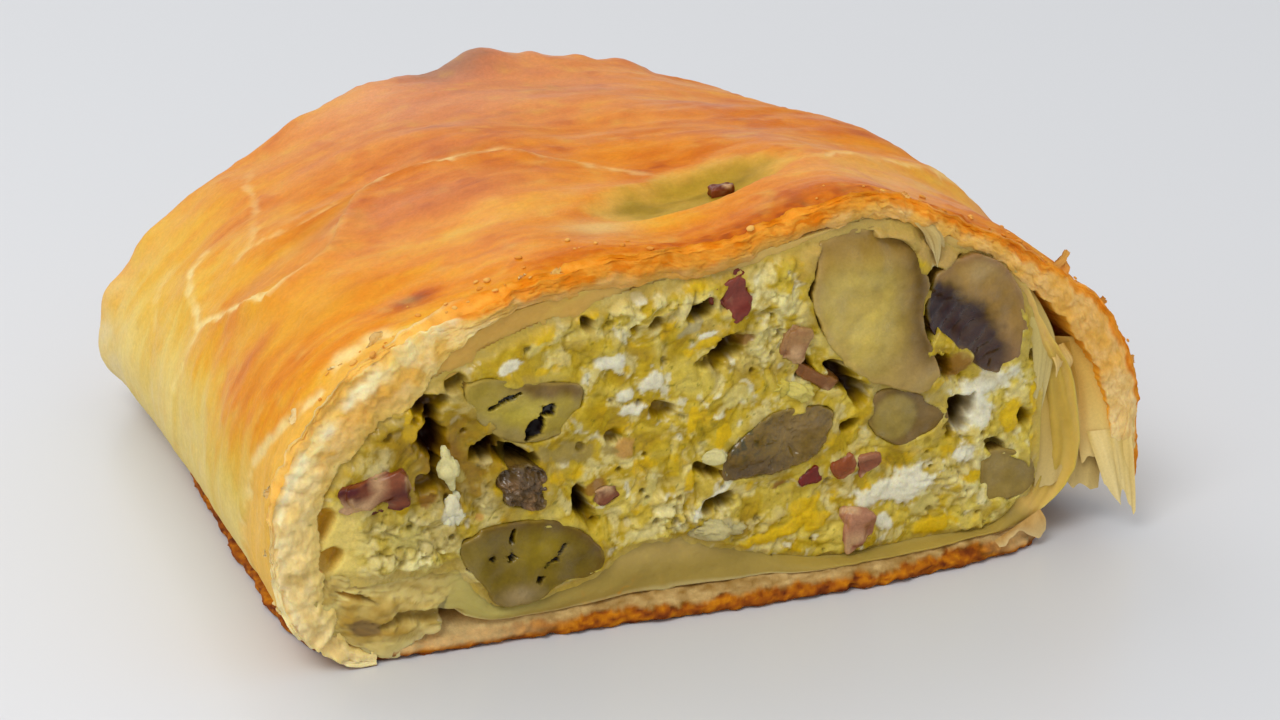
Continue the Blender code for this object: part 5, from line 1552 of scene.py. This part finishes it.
# Each sheet's two side edges, from top to bottom, with its ripple, raggedness and the two tones of its painted
# shade.
SHEETS = (
    (
        ((33.8, 0.7, 35.8), (36.6, 0.7, 31.5), (38.4, 0.6, 27), (38.9, 0.6, 23), (38.8, 0.6, 17)),
        ((37.2, 1.8, 35.2), (40.2, 1.5, 30.8), (42.1, 1.2, 26.4), (41.6, 0.9, 22.5), (40.6, 1.2, 16.5)),
        0.15, 0.05, (186, 160, 88), (204, 182, 104),
    ),
    (
        ((39.6, 1.4, 24), (40.2, 1.5, 18), (40.4, 1.4, 12), (40.2, 1.0, 5.0)),
        ((46.4, 3.6, 25), (49.4, 3.6, 18), (50.9, 3.0, 12.5), (49.6, 1.2, 5.4)),
        0.45, 0.12, (184, 144, 54), (206, 170, 80),
    ),
    (
        ((43.0, 4.2, 25.6), (46.0, 3.6, 18), (47.0, 1.8, 10), (47.8, 0.0, 4.6)),
        ((51.4, 1.2, 25.0), (53.6, 0.7, 17), (53.4, -0.3, 10), (52.8, -1.6, 4.4)),
        0.5, 0.22, (196, 154, 58), (222, 184, 92),
    ),
    (
        ((47.6, 1.4, 13.2), (48.4, 0.0, 9.6), (49.2, -1.1, 6.2), (50.0, -1.9, 3.0)),
        ((53.1, 0.3, 13.4), (53.2, -0.7, 9.6), (53.1, -1.8, 5.8), (52.8, -2.6, 2.4)),
        0.6, 0.46, (206, 176, 98), (230, 204, 138),
    ),
    (
        ((41.2, 1.2, 25.0), (41.8, 0.6, 23.4), (42.2, 1.0, 21.4)),
        ((43.8, 1.9, 25.4), (45.0, 1.3, 23.2), (44.6, 1.7, 21.4)), 0.4, 0.5, (202, 158, 76), (226, 190, 112),
    ),
    (
        ((21.6, 0.2, 44.2), (23.0, -0.4, 42.2), (24.4, 0.0, 38.4)),
        ((24.4, 0.4, 43.6), (25.6, -0.2, 41.6), (25.4, 0.2, 38.4)), 0.5, 0.35, (180, 150, 88),
        (198, 172, 108),
    ),
    (
        ((33.0, -2.4, 2.6), (33.4, -2.7, 1.9), (33.8, -2.8, 1.2)),
        ((40.8, 0.2, 4.4), (41.4, -0.2, 3.0), (41.2, -0.6, 1.2)), 0.25, 0.55, (176, 128, 62), (204, 164, 98),
    ),
)
# Points across and down a sheet, and along each of its edges.
SHEET_COLUMNS, SHEET_ROWS, SHEET_EDGE = 40, 46, 60


def make_sheets(material):
    """Thin torn sheets of dough, each between two edges, rippled and ragged at the bottom."""
    parts = []
    across = np.linspace(0, 1, SHEET_COLUMNS)[None, :]
    down = np.linspace(0, 1, SHEET_ROWS)[:, None]
    known = np.linspace(0, 1, SHEET_EDGE)
    for number, (first, second, ripple, ragged, dark, light) in enumerate(SHEETS):
        left, right = smooth_line(first, SHEET_EDGE), smooth_line(second, SHEET_EDGE)
        torn = ragged * (0.5 + 0.8 * rough(across * 4.5, 0 * across, 2.0, 430 + number, 3))
        at = np.clip(down * (1 - torn), 0, 1)
        points = np.stack([
            np.interp(at, known, left[:, i]) * (1 - across) + np.interp(at, known, right[:, i]) * across
            for i in range(3)
        ], axis=-1)
        fold = rough(across * 8, down * 1.5, 2.2, 440 + number, 3)
        points[..., 1] += ripple * fold * np.minimum(1, down * 3)
        points[..., 2] = np.maximum(points[..., 2], 0.3)
        # Painted shade and light: darker where the ripple goes back, lighter where it comes forward.
        shade = np.clip(0.5 - 0.6 * fold + 0.3 * rough(across * 14, down * 2, 1.5, 450 + number), 0, 1)
        tint = layers(blend(dark, light, shade), ((222, 208, 158), 0.45 * down**1.5 + 0 * shade))
        parts.append((points.reshape(-1, 3), grid_quads(SHEET_ROWS, SHEET_COLUMNS), tint.reshape(-1, 3), 0.5))
    points, quads, tint, dry = join_parts(parts)
    return make_mesh("torn_sheets", points, quads, tint, material, "pastry", dry, ON_CUT)


# Flakes that stand up along the broken edge: distance from the crown line, depth, width, length, turn, tone.
STANDING = (
    (41.5, 1.6, 1.8, 2.4, 0.1, (238, 176, 90)), (42.6, 2.0, 2.2, 1.3, -0.3, (236, 170, 84)),
    (51.0, 2.2, 2.6, 1.3, 0.3, (236, 168, 74)), (60.0, 1.6, 2.0, 1.0, 0.2, (238, 180, 92)),
    (-26.5, 1.0, 2.0, 0.9, -0.3, (238, 186, 98)), (-30.5, 2.0, 1.6, 0.9, 0.4, (244, 208, 140)),
    (-48.0, 3.8, 2.4, 0.9, 0.2, (246, 220, 156)), (-53.5, 4.2, 2.2, 0.8, -0.4, (246, 222, 160)),
    (-60.0, 4.0, 2.4, 0.8, 0.5, (246, 224, 164)), (-69.0, 3.0, 2.0, 1.0, 0.1, (246, 228, 172)),
    (-76.0, 2.4, 2.2, 0.9, -0.2, (246, 228, 172)), (-83.0, 2.0, 2.0, 0.9, 0.3, (244, 226, 168)),
    (18.0, 2.5, 1.4, 0.6, -0.6, (238, 186, 106)),
)
FLAKE_COLUMNS, FLAKE_ROWS, FLAKE_THICK = 15, 12, 0.18
# Loose crumbs on the crust, with the points round and up each.
LOOSE_CRUMBS, LOOSE_COLUMNS, LOOSE_ROWS = 70, 10, 6
BACK = np.array([0.0, 1.0, 0.0])


def on_crust(s, y):
    """A point of the crust's plain form and its way out."""
    x, z, runs = crust_outline(y)
    place = np.array([np.interp(s, runs, x), y, np.interp(s, runs, z)])
    step = np.array([np.interp(s + 1, runs, x), y, np.interp(s + 1, runs, z)]) - place
    out = np.array([-step[2], 0.0, step[0]])
    return place, out / np.linalg.norm(out), step / np.linalg.norm(step)


def standing_flakes():
    """Curled flakes that stand up at the broken edge, each with a front and a back."""
    parts = []
    across = np.linspace(-1, 1, FLAKE_COLUMNS)[None, :, None]
    up = np.linspace(0, 1, FLAKE_ROWS)[:, None, None]
    quads = grid_quads(FLAKE_ROWS, FLAKE_COLUMNS)
    for number, (s, y, wide, long, turn, tone) in enumerate(STANDING):
        place, out, along = on_crust(s, y)
        side = along * math.cos(turn) + BACK * math.sin(turn)
        narrow = (1 - 0.55 * up**1.5) * (1 + 0.45 * rough(up * 6, across * 0, 2.0, 470 + number))
        points = place + side * across * wide / 2 * narrow + out * (long * up - 0.5)
        points = points - BACK * (0.15 * long * up**2) + along * (0.3 * np.sin(up * 3 + number))
        points = points + out * (0.25 * rough(across * 5, up * 4, 1.5, 490 + number))
        shade = 1 + 0.08 * rough(across * 4, up * 5, 1.0, 510 + number)
        tint = np.broadcast_to(colour(*tone) * shade, points.shape).reshape(-1, 3)
        parts.append((points.reshape(-1, 3), quads, tint, CRUMB_DRY))
        parts.append(((points + FLAKE_THICK * BACK).reshape(-1, 3), quads[:, ::-1], tint, CRUMB_DRY))
    return parts


def loose_crumbs():
    """Crumbs that lie on the crust beside the cut, none of them on the slash."""
    parts = []
    index = np.arange(LOOSE_CRUMBS)
    chances = [hashed(index, 0 * index, k, 530) for k in range(6)]
    high, around = ball_angles(LOOSE_ROWS, LOOSE_COLUMNS)
    for number, (place_s, place_y, bulk, stretch, spin, shade) in enumerate(zip(*chances)):
        s = -60 + 125 * place_s
        y = 0.8 + 9.0 * place_y**2
        size = 0.14 + 0.30 * bulk**2
        if math.hypot(s - SLASH_S, y - SLASH_Y) < 1.2 * SLASH_LONG:
            continue
        place, out, along = on_crust(s, y)
        lift = float(crust_relief(np.array([s]), np.array([y]))[0])
        u = np.cos(high) * np.cos(around) * size * (1 + stretch)
        v = np.cos(high) * np.sin(around) * size
        w = np.sin(high) * size * 0.6 + 0 * u
        lumpy = 1 + 0.25 * rough(u * 5, w * 5, 1.5, 540 + number)
        side = along * math.cos(spin * math.pi) + BACK * math.sin(spin * math.pi)
        points = place + out * (lift + size * 0.3)
        points = points + (u * lumpy)[..., None] * side + (v * lumpy)[..., None] * np.cross(out, side)
        points = points + (w * lumpy)[..., None] * out
        tone = colour(220, 136, 50) * (1 - shade) + colour(240, 184, 96) * shade
        quads = grid_quads(LOOSE_ROWS, LOOSE_COLUMNS, round_columns=True)
        parts.append((points.reshape(-1, 3), quads, np.tile(tone, (u.size, 1)), CRUMB_DRY))
    return parts


def make_flakes(material):
    points, quads, tint, dry = join_parts(standing_flakes() + loose_crumbs())
    return make_mesh("crust_flakes", points, quads, tint, material, "pastry", dry, ON_CRUST)


# Camera, floor and lights


# Half the floor's width, and what the lamps point at and their tone, in metres.
FLOOR_REACH = 3.0
LIT_PLACE, LAMP_TONE = (0, 0, 0.02), (1.0, 0.99, 0.97)


def make_camera():
    data = bpy.data.cameras.new("camera")
    data.lens = CAMERA_LENS
    data.sensor_width = CAMERA_SENSOR
    data.clip_end = 20
    camera = bpy.data.objects.new("camera", data)
    camera.location = (np.array(CAMERA_PLACE) + SHIFT) * MM
    camera.rotation_euler = (math.radians(90 - CAMERA_DOWN), 0, -math.radians(CAMERA_TURN))
    bpy.context.scene.collection.objects.link(camera)
    bpy.context.scene.camera = camera


def make_floor():
    mesh = bpy.data.meshes.new("floor")
    corners = [(x * FLOOR_REACH, y * FLOOR_REACH, 0) for x, y in ((-1, -1), (1, -1), (1, 1), (-1, 1))]
    mesh.from_pydata(corners, [], [(0, 1, 2, 3)])
    floor = bpy.data.objects.new("floor", mesh)
    bpy.context.scene.collection.objects.link(floor)
    material = bpy.data.materials.new("floor_white")
    material.use_nodes = True
    surface = material.node_tree.nodes["Principled BSDF"]
    surface.inputs["Base Color"].default_value = (0.66, 0.665, 0.68, 1)
    surface.inputs["Roughness"].default_value = 0.35
    mesh.materials.append(material)
    floor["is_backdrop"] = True


def area_light(name, place, target, size, power, tone):
    data = bpy.data.lights.new(name, "AREA")
    data.shape = "RECTANGLE"
    data.size, data.size_y = size
    data.energy = power
    data.color = tone
    light = bpy.data.objects.new(name, data)
    light.location = place
    light.rotation_euler = (Vector(target) - Vector(place)).to_track_quat("-Z", "Y").to_euler()
    bpy.context.scene.collection.objects.link(light)


def make_lights():
    world = bpy.data.worlds.new("studio")
    bpy.context.scene.world = world
    world.use_nodes = True
    background = world.node_tree.nodes["Background"]
    background.inputs["Color"].default_value = (0.95, 0.97, 1.0, 1)
    background.inputs["Strength"].default_value = 0.72
    area_light("window", (-0.25, 0.75, 0.80), LIT_PLACE, (1.0, 0.7), 2.6, LAMP_TONE)
    area_light("fill", (-0.50, -0.42, 0.80), LIT_PLACE, (0.5, 0.4), 4.4, LAMP_TONE)
    bpy.context.scene.view_settings.view_transform = "Standard"


def main():
    materials = make_materials()
    make_camera()
    skin_points, skin_runs = skin_grid()
    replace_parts(make_skin(skin_points, skin_runs, materials["skin"]), "pastry_crust")
    make_cut(skin_points, skin_runs, materials["crumb"])
    make_dough(materials["dough"])
    make_sheets(materials["thin"])
    make_flakes(materials["thin"])
    make_base(materials["base"])
    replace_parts(make_egg(materials["egg"]), "egg_filling")
    make_curds(materials["egg"])
    for name in MUSHROOMS:
        make_mushroom(name, materials["mushroom"])
    for seed, (name, form) in enumerate(BACON.items()):
        middle_x, middle_z, half_x, half_z, lean, half_y, proud, first, second, fat = form
        centre, halves = (middle_x, half_y - proud, middle_z), (half_x, half_y, half_z)
        make_bacon(name, materials["bacon"], centre, halves, lean, (first, second), fat, 200 + seed)
    low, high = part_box("bacon_in_slash")
    middle = (np.array(low) + np.array(high)) / 2 / MM - SHIFT - np.array([0, 0, 1.6])
    halves = (np.array(high) - np.array(low)) / 2 / MM
    make_bacon("bacon_in_slash", materials["bacon"], middle, halves * 0.70, 0, SLASH_BACON, 0.05, 230)
    make_floor()
    make_lights()
    low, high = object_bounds()


main()
